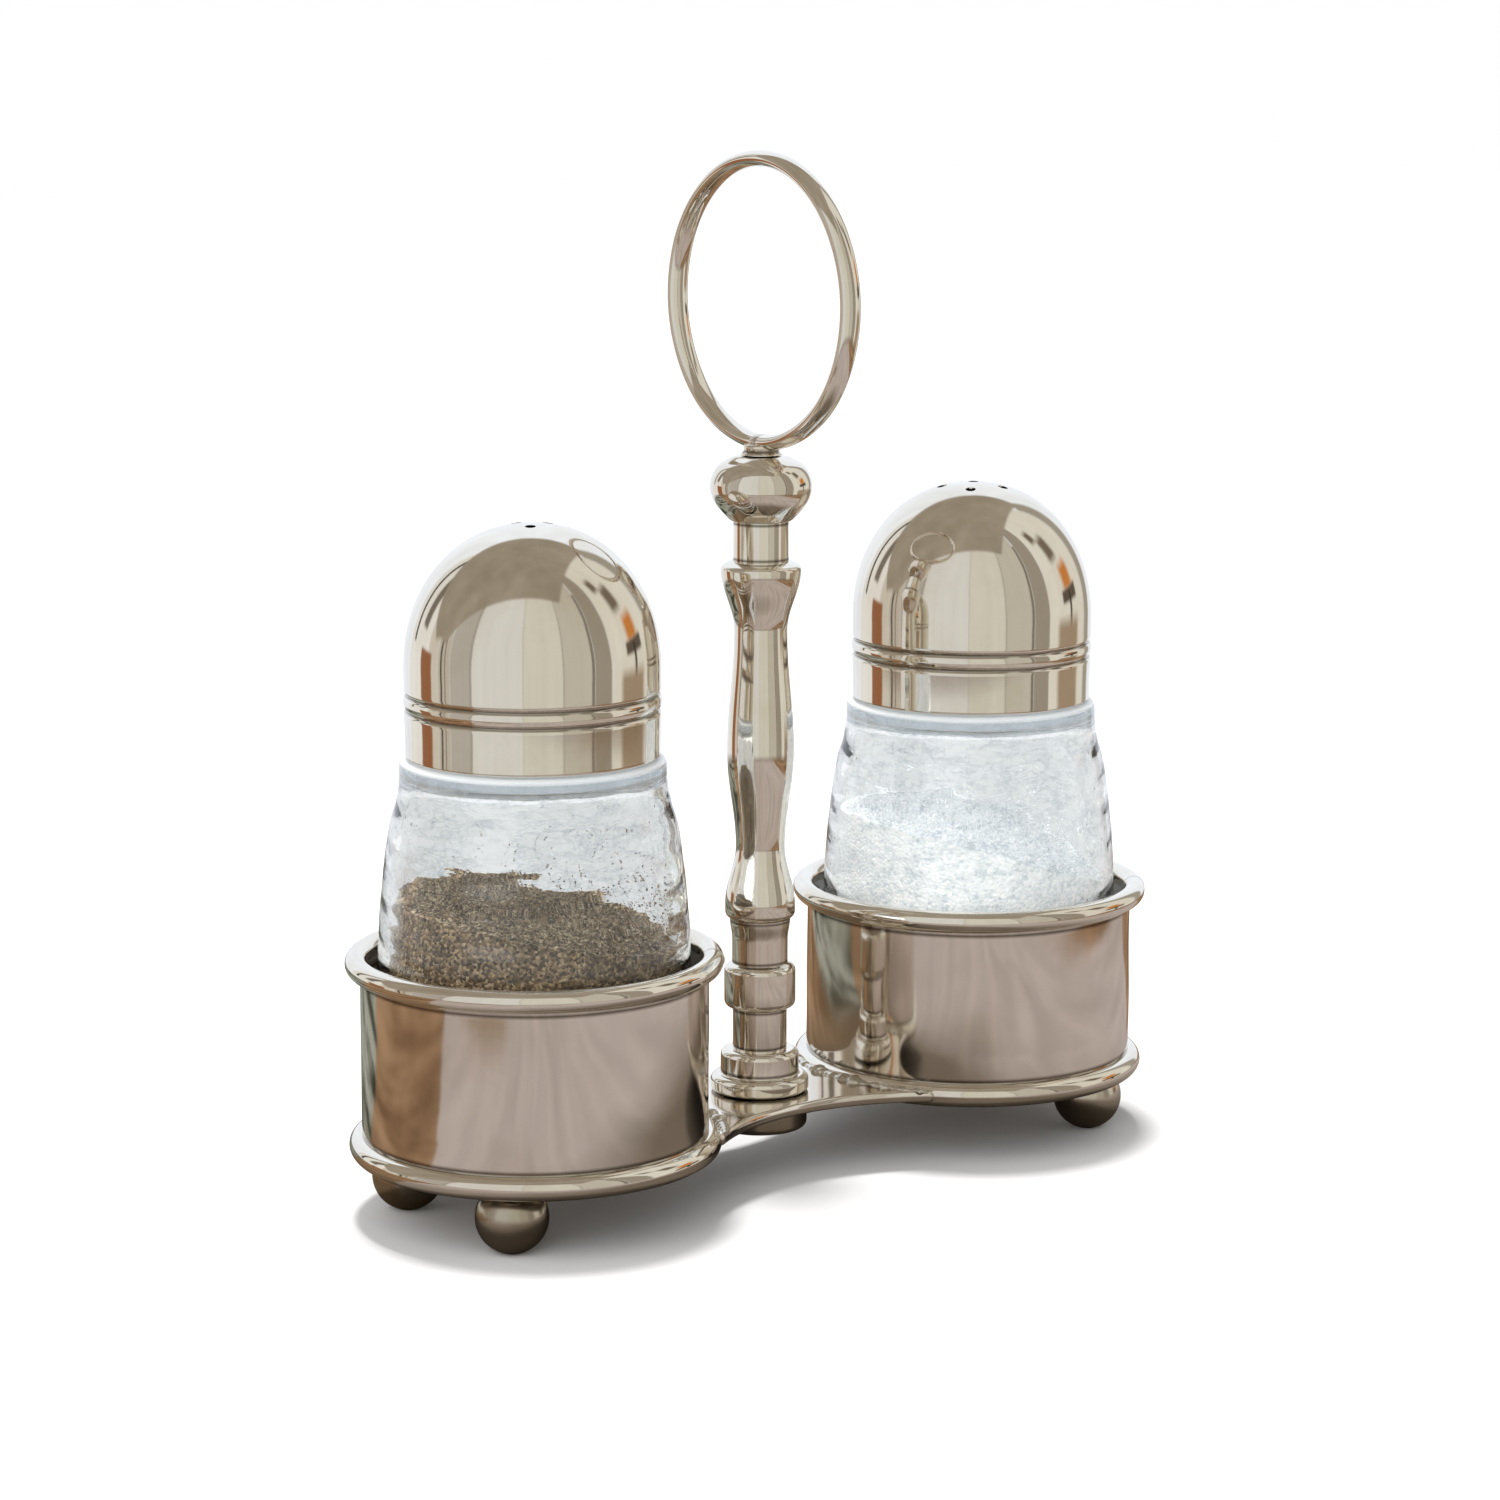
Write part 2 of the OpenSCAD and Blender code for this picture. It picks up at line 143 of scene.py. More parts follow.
class Graph:
    """The node tree of a material or of the world."""

    def __init__(self, tree: bpy.types.NodeTree) -> None:
        """Empties the tree."""
        self.tree = tree
        tree.nodes.clear()

    def add(self, kind: str, settings: dict | None = None, values: dict | None = None) -> bpy.types.Node:
        """Adds a node.

        Args:
            kind: the node's type.
            settings: attributes that are set first; "stops" is a ramp's list of (position, colour).
            values: numbers, colours or Vals for the node's inputs.

        Returns:
            The node.
        """
        made = self.tree.nodes.new(kind)
        for key, value in (settings or {}).items():
            if key == "stops":
                self._set_stops(made.color_ramp, value)
            else:
                setattr(made, key, value)
        for key, value in (values or {}).items():
            if isinstance(value, Val):
                self.tree.links.new(value.socket, made.inputs[key])
            else:
                made.inputs[key].default_value = value
        return made

    def node(
        self, kind: str, settings: dict | None = None, values: dict | None = None, output: int | str = 0
    ) -> Val:
        """Adds a node as add does, and returns one of its outputs."""
        return Val(self, self.add(kind, settings, values).outputs[output])

    def _set_stops(self, ramp: bpy.types.ColorRamp, stops: Sequence[tuple[float, Colour]]) -> None:
        """Sets a ramp's colours, from low to high.

        Args:
            ramp: the colour ramp.
            stops: pairs of position and colour, from low to high.
        """
        while len(ramp.elements) < len(stops):
            ramp.elements.new(0.5)
        for element, (place, colour) in zip(ramp.elements, stops):
            element.position = place
            element.color = (*colour, 1)

    def place(self, stretch: tuple[float, float, float] = (1, 1, 1)) -> Val:
        """Object coordinates, multiplied by stretch along each axis."""
        where = self.node("ShaderNodeTexCoord", output="Object")
        return self.node("ShaderNodeMapping", {}, {"Vector": where, "Scale": stretch})

    def ray(self, kind: str) -> Val:
        """1 for a ray of the named kind, such as Glossy."""
        return self.node("ShaderNodeLightPath", output=f"Is {kind} Ray")

    def mirrored(self) -> Val:
        """1 for a ray that left a polished surface, 0 for one that went through glass."""
        return self.ray("Glossy") * (1 - self.ray("Transmission"))

    def up(self, where: Val) -> Val:
        """The Z of a vector."""
        return self.node("ShaderNodeSeparateXYZ", {}, {0: where}, output="Z")

    def along(self, where: Val, way: Vector) -> Val:
        """How far a place lies along a direction: their dot product."""
        settings = {"operation": "DOT_PRODUCT"}
        return self.node("ShaderNodeVectorMath", settings, {0: where, 1: tuple(way)}, output="Value")

    def grains(self, where: Val, scale: float, output: str = "Distance") -> Val:
        """A cell pattern with cells 1/scale metres across."""
        return self.node("ShaderNodeTexVoronoi", {}, {"Vector": where, "Scale": scale}, output=output)

    def channel(self, colour: Val, name: str) -> Val:
        """One channel of a colour."""
        return self.node("ShaderNodeSeparateColor", {}, {"Color": colour}, output=name)

    def principled(self, values: dict) -> Val:
        """The general surface shader."""
        return self.node("ShaderNodeBsdfPrincipled", {}, values)

    def blend(self, share: Val, first: Val, second: Val) -> Val:
        """A shader between first (share 0) and second (share 1)."""
        return self.node("ShaderNodeMixShader", {}, {0: share, 1: first, 2: second})

    def close(self, kind: str, shader: Val) -> None:
        """Joins the shader to the output of a Material or a World."""
        self.add(f"ShaderNodeOutput{kind}", {}, {"Surface": shader})

    def noise(self, where: Val, scale: float, detail: float = 2, rough: float = 0.5) -> Val:
        """A cloudy value near 0.5, whose features are 1/scale metres across."""
        values = {"Vector": where, "Scale": scale, "Detail": detail, "Roughness": rough}
        return self.node("ShaderNodeTexNoise", {}, values)

    def mix(self, share: "Val | float", first: "Val | Colour", second: "Val | Colour") -> Val:
        """A colour between first (share 0) and second (share 1)."""
        values = {0: share, 6: self.colour(first), 7: self.colour(second)}
        return self.node("ShaderNodeMix", {"data_type": "RGBA"}, values, output=2)

    def bump(self, height: Val, depth: float) -> Val:
        """A normal for a relief of the given depth in metres."""
        return self.node("ShaderNodeBump", {}, {"Height": height, "Distance": depth, "Strength": 1.0})

    def colour(self, value: "Val | Colour") -> "Val | tuple":
        """A colour with its alpha, or the Val as it is."""
        return value if isinstance(value, Val) else (*value, 1)


class Finish:
    """A finish: its material is made once and shared."""

    name: str

    def material(self) -> bpy.types.Material:
        """The finished material, made on the first call.

        Returns:
            The material.
        """
        found = bpy.data.materials.get(self.name)
        if found:
            return found
        made = bpy.data.materials.new(self.name)
        made.use_nodes = True
        graph = Graph(made.node_tree)
        graph.close("Material", self.surface(graph))
        return made

    def surface(self, graph: Graph) -> Val:
        """The shader of the surface; each finish has its own."""
        raise NotImplementedError


@dataclass(frozen=True)
class Plated(Finish):
    """Nickel plate: a tinted mirror, clouded by handling and marked by the polishing wheel."""

    name: str
    tint: Colour
    worn: Colour
    roughness: float
    haze: float
    mark_stretch: tuple[float, float, float]
    mark_depth: float
    pad_depth: float
    creases: tuple[float, ...] = ()
    crease_half: float = 0.45
    # The colour of the painted shade that darkens each crease.
    painted_crease_shade: Colour = (0.09, 0.07, 0.045)

    def surface(self, graph: Graph) -> Val:
        """Cloud noise drives tint and roughness; fine and slow noise give the relief.

        Each crease is a height in millimetres where painted shade darkens a corner, a groove or a joint.

        Args:
            graph: the material's node graph.

        Returns:
            The surface shader.
        """
        where = graph.place()
        cloud = graph.noise(where, 55, 4, 0.6)
        patch = graph.noise(where, 160, 2)
        marks = graph.noise(graph.place(self.mark_stretch), 1.0, 3, 0.65)
        relief = patch * self.pad_depth + marks * self.mark_depth
        tint = graph.mix(cloud.over(0.56, 0.25), self.tint, self.worn)
        height = graph.up(where) / MM
        # Painted shade: each crease darkens the tint in a narrow band, standing in for the shade in a corner,
        # a groove or a joint.
        for crease in self.creases:
            away = (height - crease).absolute() / self.crease_half
            tint = graph.mix((1 - away).clamped() * 0.9, tint, self.painted_crease_shade)
        values = {
            "Base Color": tint,
            "Roughness": cloud.over(0.5, 0.5) * self.haze + marks * self.haze * 0.5 + self.roughness,
            "Metallic": 1.0,
            "Normal": graph.bump(relief, 1.0),
        }
        return graph.principled(values)


@dataclass(frozen=True)
class BlownGlass(Finish):
    """Clear hand-blown glass with fine cords and seeds in its skin."""

    name: str
    tint: Colour
    # The colour of the painted grey lines, which stand in for dark streaks refracted by the cords.
    line: Colour
    index: float
    cord_depth: float
    seed_depth: float
    frost_z: float

    def surface(self, graph: Graph) -> Val:
        """Level-stretched noise makes cords, and faint grey lines painted into the colour stand in for dark
        streaks refracted by the cords; above frost_z the neck is ground and glows faintly with painted light.

        Args:
            graph: the material's node graph.

        Returns:
            The surface shader.
        """
        where = graph.place()
        cords = graph.noise(graph.place((110, 110, 460)), 1.0, 3, 0.55)
        twist = graph.noise(graph.place((150, 150, 330)), 1.0, 4, 0.6)
        line = (1 - (twist - 0.5).absolute() / 0.04).clamped()
        seeds = 1 - graph.grains(where, 420.0).over(0.09, 0.08)
        # Painted shade: the grey lines darken the glass's colour along the cords.
        values = {
            "Base Color": graph.mix(line * (cords.over(0.45, 0.3) * 0.75), self.tint, self.line),
            "Roughness": 0.0,
            "IOR": self.index,
            "Transmission Weight": 1.0,
            "Normal": graph.bump(cords * self.cord_depth + seeds * self.seed_depth, 1.0),
        }
        # Painted glow: the ground neck emits a faint bluish white of its own.
        ground = {
            "Base Color": graph.mix(cords, (0.80, 0.84, 0.86), (0.93, 0.95, 0.96)),
            "Roughness": 0.35,
            "Normal": graph.bump(cords, 6e-5),
            "Emission Color": (0.8, 0.85, 0.9, 1),
            "Emission Strength": 0.15,
        }
        share = (graph.up(where) / MM).over(self.frost_z, 0.7) * 0.9
        return graph.blend(share, graph.principled(values), graph.principled(ground))


@dataclass(frozen=True)
class Granular(Finish):
    """A heap of grains: each cell of a cell pattern is one grain with its own colour."""

    name: str
    stops: tuple[tuple[float, Colour], ...]
    grains_per_metre: float
    relief: float
    roughness: float
    gloss_spread: float
    # The side shade multiplies the sides' colour as painted shade; the last number is the strength of a
    # painted glow.
    side_shade: Colour
    glow: float

    def surface(self, graph: Graph) -> Val:
        """Cells give each grain a colour from the ramp, a gloss and a rounded relief.

        The sides are darkened by painted shade while the top keeps the full colour, and the grains glow with
        a painted glow in that colour.

        Args:
            graph: the material's node graph.

        Returns:
            The surface shader.
        """
        where = graph.place()
        shade = graph.grains(where, self.grains_per_metre, "Color")
        rise = graph.grains(where, self.grains_per_metre)
        pick, gloss = graph.channel(shade, "Red"), graph.channel(shade, "Green")
        share = (pick * 0.8 + graph.noise(where, 220, 3) * 0.4 - 0.1).clamped()
        ramp = graph.node("ShaderNodeValToRGB", {"stops": self.stops}, {"Fac": share})
        # Painted light: faces turned up keep the ramp's colour, and the sides are darkened by the side shade.
        top = graph.up(graph.node("ShaderNodeNewGeometry", output="True Normal")).over(0.45, 0.5)
        multiply = {"data_type": "RGBA", "blend_type": "MULTIPLY"}
        shaded_side = graph.node("ShaderNodeMix", multiply, {0: 1.0, 6: ramp, 7: (*self.side_shade, 1)}, output=2)
        colour = graph.mix(top, shaded_side, ramp)
        # Painted glow: the surface emits its own colour, standing in for light scattered through the grains.
        values = {
            "Base Color": colour,
            "Emission Color": colour,
            "Emission Strength": self.glow,
            "Roughness": (self.roughness - gloss * self.gloss_spread).clamped(),
            "Normal": graph.bump((1 - rise) + gloss * 0.6, self.relief),
        }
        return graph.principled(values)


@dataclass(frozen=True)
class Moulded(Finish):
    """A moulded plastic or rubber part with a fine, slightly cloudy skin."""

    name: str
    tint: Colour
    shade: Colour
    roughness: float
    skin_depth: float

    def surface(self, graph: Graph) -> Val:
        """Noise varies the colour, the roughness and a fine relief.

        Args:
            graph: the material's node graph.

        Returns:
            The surface shader.
        """
        cloud = graph.noise(graph.place(), 130, 4)
        skin = graph.noise(graph.place(), 3200, 2)
        values = {
            "Base Color": graph.mix(cloud.over(0.5, 0.6), self.tint, self.shade),
            "Roughness": cloud * 0.2 + self.roughness,
            "Normal": graph.bump(skin, self.skin_depth),
        }
        return graph.principled(values)


# The creases given below are heights where painted shade darkens a corner, a groove or a joint.
POLISHED = Plated(
    "polished nickel plate", (0.83, 0.785, 0.71), (0.76, 0.70, 0.61), 0.025, 0.05,
    (900, 900, 900), 1.2e-7, 3.5e-6,
)
SPUN = Plated(
    "spun nickel sheet", (0.82, 0.775, 0.715), (0.75, 0.69, 0.62), 0.04, 0.07,
    (260, 260, 1900), 3e-7, 9e-6, (43.95, 16.1), 0.6,
)
CAPPED = replace(POLISHED, name="grooved nickel plate", creases=(92.2, 95.0))
TURNED = replace(
    POLISHED, name="turned nickel plate",
    creases=(15.1, 18.7, 23.35, 30.2, 39.5, 47.1, 114.4, 120.9, 134.0),
)
SATIN = Plated(
    "satin nickel", (0.60, 0.55, 0.47), (0.45, 0.40, 0.32), 0.13, 0.10,
    (120, 120, 5200), 1.6e-6, 4e-6,
)
BRUSHED = Plated(
    "brushed nickel", (0.80, 0.785, 0.76), (0.70, 0.68, 0.64), 0.32, 0.1,
    (140, 140, 3600), 6e-7, 2e-6,
)
DRAWN = Plated(
    "drawn rod steel", (0.58, 0.57, 0.55), (0.48, 0.47, 0.45), 0.22, 0.1,
    (4200, 4200, 60), 1.2e-6, 2e-6,
)
SOLDER = Plated(
    "solder", (0.72, 0.69, 0.63), (0.52, 0.48, 0.4), 0.1, 0.16,
    (2600, 2600, 2600), 4e-6, 1.2e-5,
)
# The second colour is the grey of the painted lines in the glass.
GLASS = BlownGlass("blown glass", (0.985, 0.995, 0.995), (0.58, 0.64, 0.68), 1.5, 4e-5, 2e-5, 82.8)
# The last two numbers of each heap are its painted side shade and the strength of its painted glow.
PEPPER = Granular(
    "ground pepper",
    (
        (0.0, (0.03, 0.022, 0.013)), (0.28, (0.10, 0.07, 0.038)), (0.5, (0.23, 0.165, 0.095)),
        (0.74, (0.42, 0.325, 0.20)), (1.0, (0.78, 0.67, 0.48)),
    ),
    2000, 4e-4, 0.85, 0.3, (0.52, 0.47, 0.40), 0.1,
)
SALT = Granular(
    "table salt",
    ((0.0, (0.56, 0.61, 0.67)), (0.3, (0.745, 0.785, 0.825)), (1.0, (0.86, 0.88, 0.905))),
    1700, 1.6e-4, 0.7, 0.66, (0.96, 0.95, 0.915), 0.275,
)
LINER = Moulded("liner plastic", (0.76, 0.75, 0.72), (0.68, 0.67, 0.63), 0.35, 6e-6)
SILICONE = Moulded("seal silicone", (0.84, 0.83, 0.79), (0.76, 0.75, 0.71), 0.5, 4e-6)

# ---------------------------------------------------------------- shapes


@dataclass
class Shape:
    """Points in millimetres and the faces between them."""

    points: Array
    faces: list[list[int]]

    def __add__(self, other: "Shape") -> "Shape":
        """Both shapes as one.

        Args:
            other: the shape to add.

        Returns:
            The joined shape.
        """
        shift = len(self.points)
        moved = [[i + shift for i in face] for face in other.faces]
        return Shape(np.vstack([self.points, other.points]), self.faces + moved)


def arc(centre: tuple[float, float], radius: float, start: float, end: float, steps: int = 10) -> Array:
    """A round stretch of a profile: centre plus radius times (cos a, sin a).

    Args:
        centre: its centre (r, z).
        radius: its radius.
        start: the first angle in degrees.
        end: the last angle in degrees.
        steps: the number of chords.

    Returns:
        Rows of (r, z).
    """
    a = np.radians(np.linspace(start, end, steps + 1))
    return np.stack([centre[0] + radius * np.cos(a), centre[1] + radius * np.sin(a)], axis=1)


def ease(p: tuple[float, float], q: tuple[float, float], steps: int = 36) -> Array:
    """Half a cosine wave from p to q, upright at both ends, without q itself.

    Args:
        p: the first point (r, z).
        q: the last point (r, z).
        steps: the number of steps in each stretch.

    Returns:
        Rows of (r, z).
    """
    t = np.linspace(0, 1, steps, endpoint=False)
    across = p[0] + (q[0] - p[0]) * (1 - np.cos(np.pi * t)) / 2
    return np.stack([across, p[1] + (q[1] - p[1]) * t], axis=1)


def spline(points: Sequence[tuple[float, float]], steps: int = 12) -> Array:
    """The cubic that passes through every point, level with its neighbours' chord at each.

    Args:
        points: the points (r, z) to pass through.
        steps: the number of steps in each stretch.

    Returns:
        Rows of (r, z).
    """
    p = np.array(points, float)
    ends = np.vstack([p[:1], p, p[-1:]])
    t = np.linspace(0, 1, steps, endpoint=False)[:, None]
    runs = [
        0.5 * (2 * b + (c - a) * t + (2 * a - 5 * b + 4 * c - d) * t**2 + (3 * b - a - 3 * c + d) * t**3)
        for a, b, c, d in zip(ends, ends[1:], ends[2:], ends[3:])
    ]
    return np.vstack([*runs, p[-1:]])


def skin(grid: Array, wrap_rows: bool = False, wrap_columns: bool = True) -> Shape:
    """Puts faces on a grid of points; a first or last row of one repeated point becomes a pole.

    Args:
        grid: rows by columns by (x, y, z), with row direction crossed from column direction
            pointing outwards.
        wrap_rows: joins the last row to the first.
        wrap_columns: joins the last column to the first.

    Returns:
        The closed shape.
    """
    rows, columns = grid.shape[:2]
    index = np.arange(rows * columns).reshape(rows, columns)
    for row in (0, -1):
        if np.ptp(grid[row], axis=0).max() < 1e-9:
            index[row] = index[row, 0]
    if wrap_rows:
        index = np.vstack([index, index[:1]])
    if wrap_columns:
        index = np.hstack([index, index[:, :1]])
    a, b = index[:-1, :-1].ravel(), index[:-1, 1:].ravel()
    c, d = index[1:, 1:].ravel(), index[1:, :-1].ravel()
    at_start, at_end = a == b, c == d
    quads = np.stack([a, b, c, d], axis=1)[~at_start & ~at_end]
    fans = np.vstack([np.stack([a, c, d], axis=1)[at_start], np.stack([a, b, c], axis=1)[at_end]])
    used, order = np.unique(np.concatenate([quads.ravel(), fans.ravel()]), return_inverse=True)
    split = quads.size
    faces = order[:split].reshape(-1, 4).tolist() + order[split:].reshape(-1, 3).tolist()
    return Shape(grid.reshape(-1, 3)[used], faces)


def turned(
    profile: Array, centre_x: float = 0, segments: int = 192, wrap: bool = False, swell: Swell | None = None
) -> Shape:
    """A profile carried round an upright axis: (x, y, z) = (r cos t, r sin t, z).

    Args:
        profile: rows of (r, z), with the outside on the right as they are followed.
        centre_x: X of the axis.
        segments: steps round the axis.
        wrap: joins the profile's end to its start.
        swell: gives an addition to r from the grids of t and z.

    Returns:
        The turned shape.
    """
    t = np.linspace(0, TAU, segments, endpoint=False)[None, :]
    r = np.repeat(profile[:, :1], segments, axis=1)
    z = np.repeat(profile[:, 1:], segments, axis=1)
    if swell is not None:
        r = np.where(r > 0, r + swell(t + 0 * z, z), 0)
    return skin(np.stack([centre_x + r * np.cos(t), r * np.sin(t), z], axis=2), wrap_rows=wrap)


def wire(radius: float, across: float, up: float, height: float, points: int = 28) -> Array:
    """The oval section of a bent wire, as a closed profile."""
    a = np.linspace(0, TAU, points, endpoint=False)
    return np.stack([radius + across * np.cos(a), height + up * np.sin(a)], axis=1)


def tube(path: Array, side: Array, up: Array, across: Array, rise: Array, points: int = 20) -> Shape:
    """An oval section carried along an open path, closed at both ends.

    Args:
        path: the centres, from start to end.
        side: the section's first axis at each centre.
        up: its second axis, so that side crossed with up runs along the path.
        across: half width at each centre.
        rise: half height at each centre.
        points: points round the section.

    Returns:
        The closed tube.
    """
    a = np.linspace(0, TAU, points, endpoint=False)
    ring = (
        side[:, None, :] * (np.cos(a)[None, :, None] * across[:, None, None])
        + up[:, None, :] * (np.sin(a)[None, :, None] * rise[:, None, None])
    )
    body = path[:, None, :] + ring
    start = np.repeat(path[:1, None, :], points, axis=1)
    end = np.repeat(path[-1:, None, :], points, axis=1)
    return skin(np.vstack([start, body, end]))


def waves(seed: int, count: int, turns: tuple[int, int], lengths: tuple[float, float], size: float) -> Swell:
    """A sum of travelling cosine waves round an axis, each cos(m t + q z + p) with whole m.

    Args:
        seed: of the random draws.
        count: the number of waves.
        turns: least and most waves round the axis.
        lengths: shortest and longest wave along the axis.
        size: the sum's usual height.

    Returns:
        A function of t and z.
    """
    rng = np.random.default_rng(seed)
    m = rng.integers(turns[0], turns[1] + 1, count)
    q = TAU / rng.uniform(*lengths, count) * rng.choice([-1, 1], count)
    p = rng.uniform(0, TAU, count)
    weight = size * math.sqrt(2 / count)

    def height(t: Array, z: Array) -> Array:
        """The waves' sum at t and z."""
        return weight * sum(np.cos(m[k] * t + q[k] * z + p[k]) for k in range(count))

    return height


def scatter(template: Shape, places: Array, sizes: Array, rng: np.random.Generator) -> Shape:
    """Copies a small shape to many places, each at its own size and turned at random.

    Args:
        template: the small shape, about its own origin.
        places: a centre for each copy.
        sizes: three half sizes for each copy.
        rng: the source of the turns.

    Returns:
        All copies as one shape.
    """
    count = len(places)
    quaternion = rng.normal(size=(count, 4))
    w, x, y, z = (quaternion / np.linalg.norm(quaternion, axis=1, keepdims=True)).T
    turn = np.stack(
        [
            1 - 2 * (y * y + z * z), 2 * (x * y - z * w), 2 * (x * z + y * w),
            2 * (x * y + z * w), 1 - 2 * (x * x + z * z), 2 * (y * z - x * w),
            2 * (x * z - y * w), 2 * (y * z + x * w), 1 - 2 * (x * x + y * y),
        ],
        axis=1,
    ).reshape(count, 3, 3)
    scaled = template.points[None] * sizes[:, None, :]
    points = np.einsum("nij,nkj->nki", turn, scaled) + places[:, None, :]
    each = len(template.points)
    faces = (np.array(template.faces)[None] + (np.arange(count) * each)[:, None, None]).reshape(
        -1, len(template.faces[0])
    )
    return Shape(points.reshape(-1, 3), faces.tolist())


def octahedron() -> Shape:
    """Eight faces about the origin, reaching 1 along each axis.

    Returns:
        The shape.
    """
    points = np.array([[1, 0, 0], [-1, 0, 0], [0, 1, 0], [0, -1, 0], [0, 0, 1], [0, 0, -1]], float)
    faces = [[0, 2, 4], [2, 1, 4], [1, 3, 4], [3, 0, 4], [2, 0, 5], [1, 2, 5], [3, 1, 5], [0, 3, 5]]
    return Shape(points, faces)


def cube() -> Shape:
    """Six faces about the origin, reaching 1 along each axis.

    Returns:
        The shape.
    """
    points = np.array([[x, y, z] for z in (-1, 1) for y in (-1, 1) for x in (-1, 1)], float)
    faces = [[0, 2, 3, 1], [4, 5, 7, 6], [0, 1, 5, 4], [2, 6, 7, 3], [0, 4, 6, 2], [1, 3, 7, 5]]
    return Shape(points, faces)


def place(name: str, points: Array, faces: Sequence[Sequence[int]]) -> bpy.types.Object:
    """Puts an object made of points in metres and faces into the scene.

    Args:
        name: the object's name.
        points: rows of (x, y, z) in metres.
        faces: rows of point numbers.

    Returns:
        The object.
    """
    mesh = bpy.data.meshes.new(name)
    mesh.from_pydata(points.tolist(), [], faces)
    made = bpy.data.objects.new(name, mesh)
    bpy.context.scene.collection.objects.link(made)
    return made


class Bench:
    """Where finished shapes become pieces of the model."""

    def __init__(self) -> None:
        """Starts with no pieces."""
        self.count = 0

    def add(
        self, name: str, shape: Shape, finish: Finish, body: str, slot: str, nodes: Sequence[str] = (),
        flat: bool = False,
    ) -> bpy.types.Object:
        """Makes a piece.

        Args:
            name: the piece's name.
            shape: its points and faces in millimetres.
            finish: its finish.
            body: the body that it rides on.
            slot: the name of the material slot meant for it; not used.
            nodes: the plain solids that it stands for.
            flat: leaves its facets flat.

        Returns:
            The piece's object.
        """
        piece = place(name, shape.points * MM, shape.faces)
        mesh = piece.data
        if not flat:
            mesh.shade_smooth()
            mesh.set_sharp_from_angle(angle=SHARP_ANGLE)
        mesh.materials.append(finish.material())
        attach(piece, body)
        if nodes:
            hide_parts(*nodes)
        self.count += 1
        LOG.info("%s: %d faces on %s", name, len(mesh.polygons), body)
        return piece

    def dress(self, node: str, finish: Finish) -> None:
        """Gives a plain solid that stays in view its finish.

        Args:
            node: the solid's name.
            finish: its finish.
        """
        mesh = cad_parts[node].data
        mesh.materials.clear()
        mesh.materials.append(finish.material())
        LOG.info("%s: dressed in %s", node, finish.name)


@dataclass
class Room:
    """The space that a node takes up, in millimetres."""

    low: Array
    high: Array

    @classmethod
    def of(cls, node: str) -> "Room":
        """The room of a node."""
        low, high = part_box(node)
        return cls(np.array(low) / MM, np.array(high) / MM)

    @property
    def centre(self) -> Array:
        """Its middle."""
        return (self.low + self.high) / 2

    @property
    def radius(self) -> float:
        """Half its width along X."""
        return float(self.high[0] - self.low[0]) / 2


# ---------------------------------------------------------------- the caddy


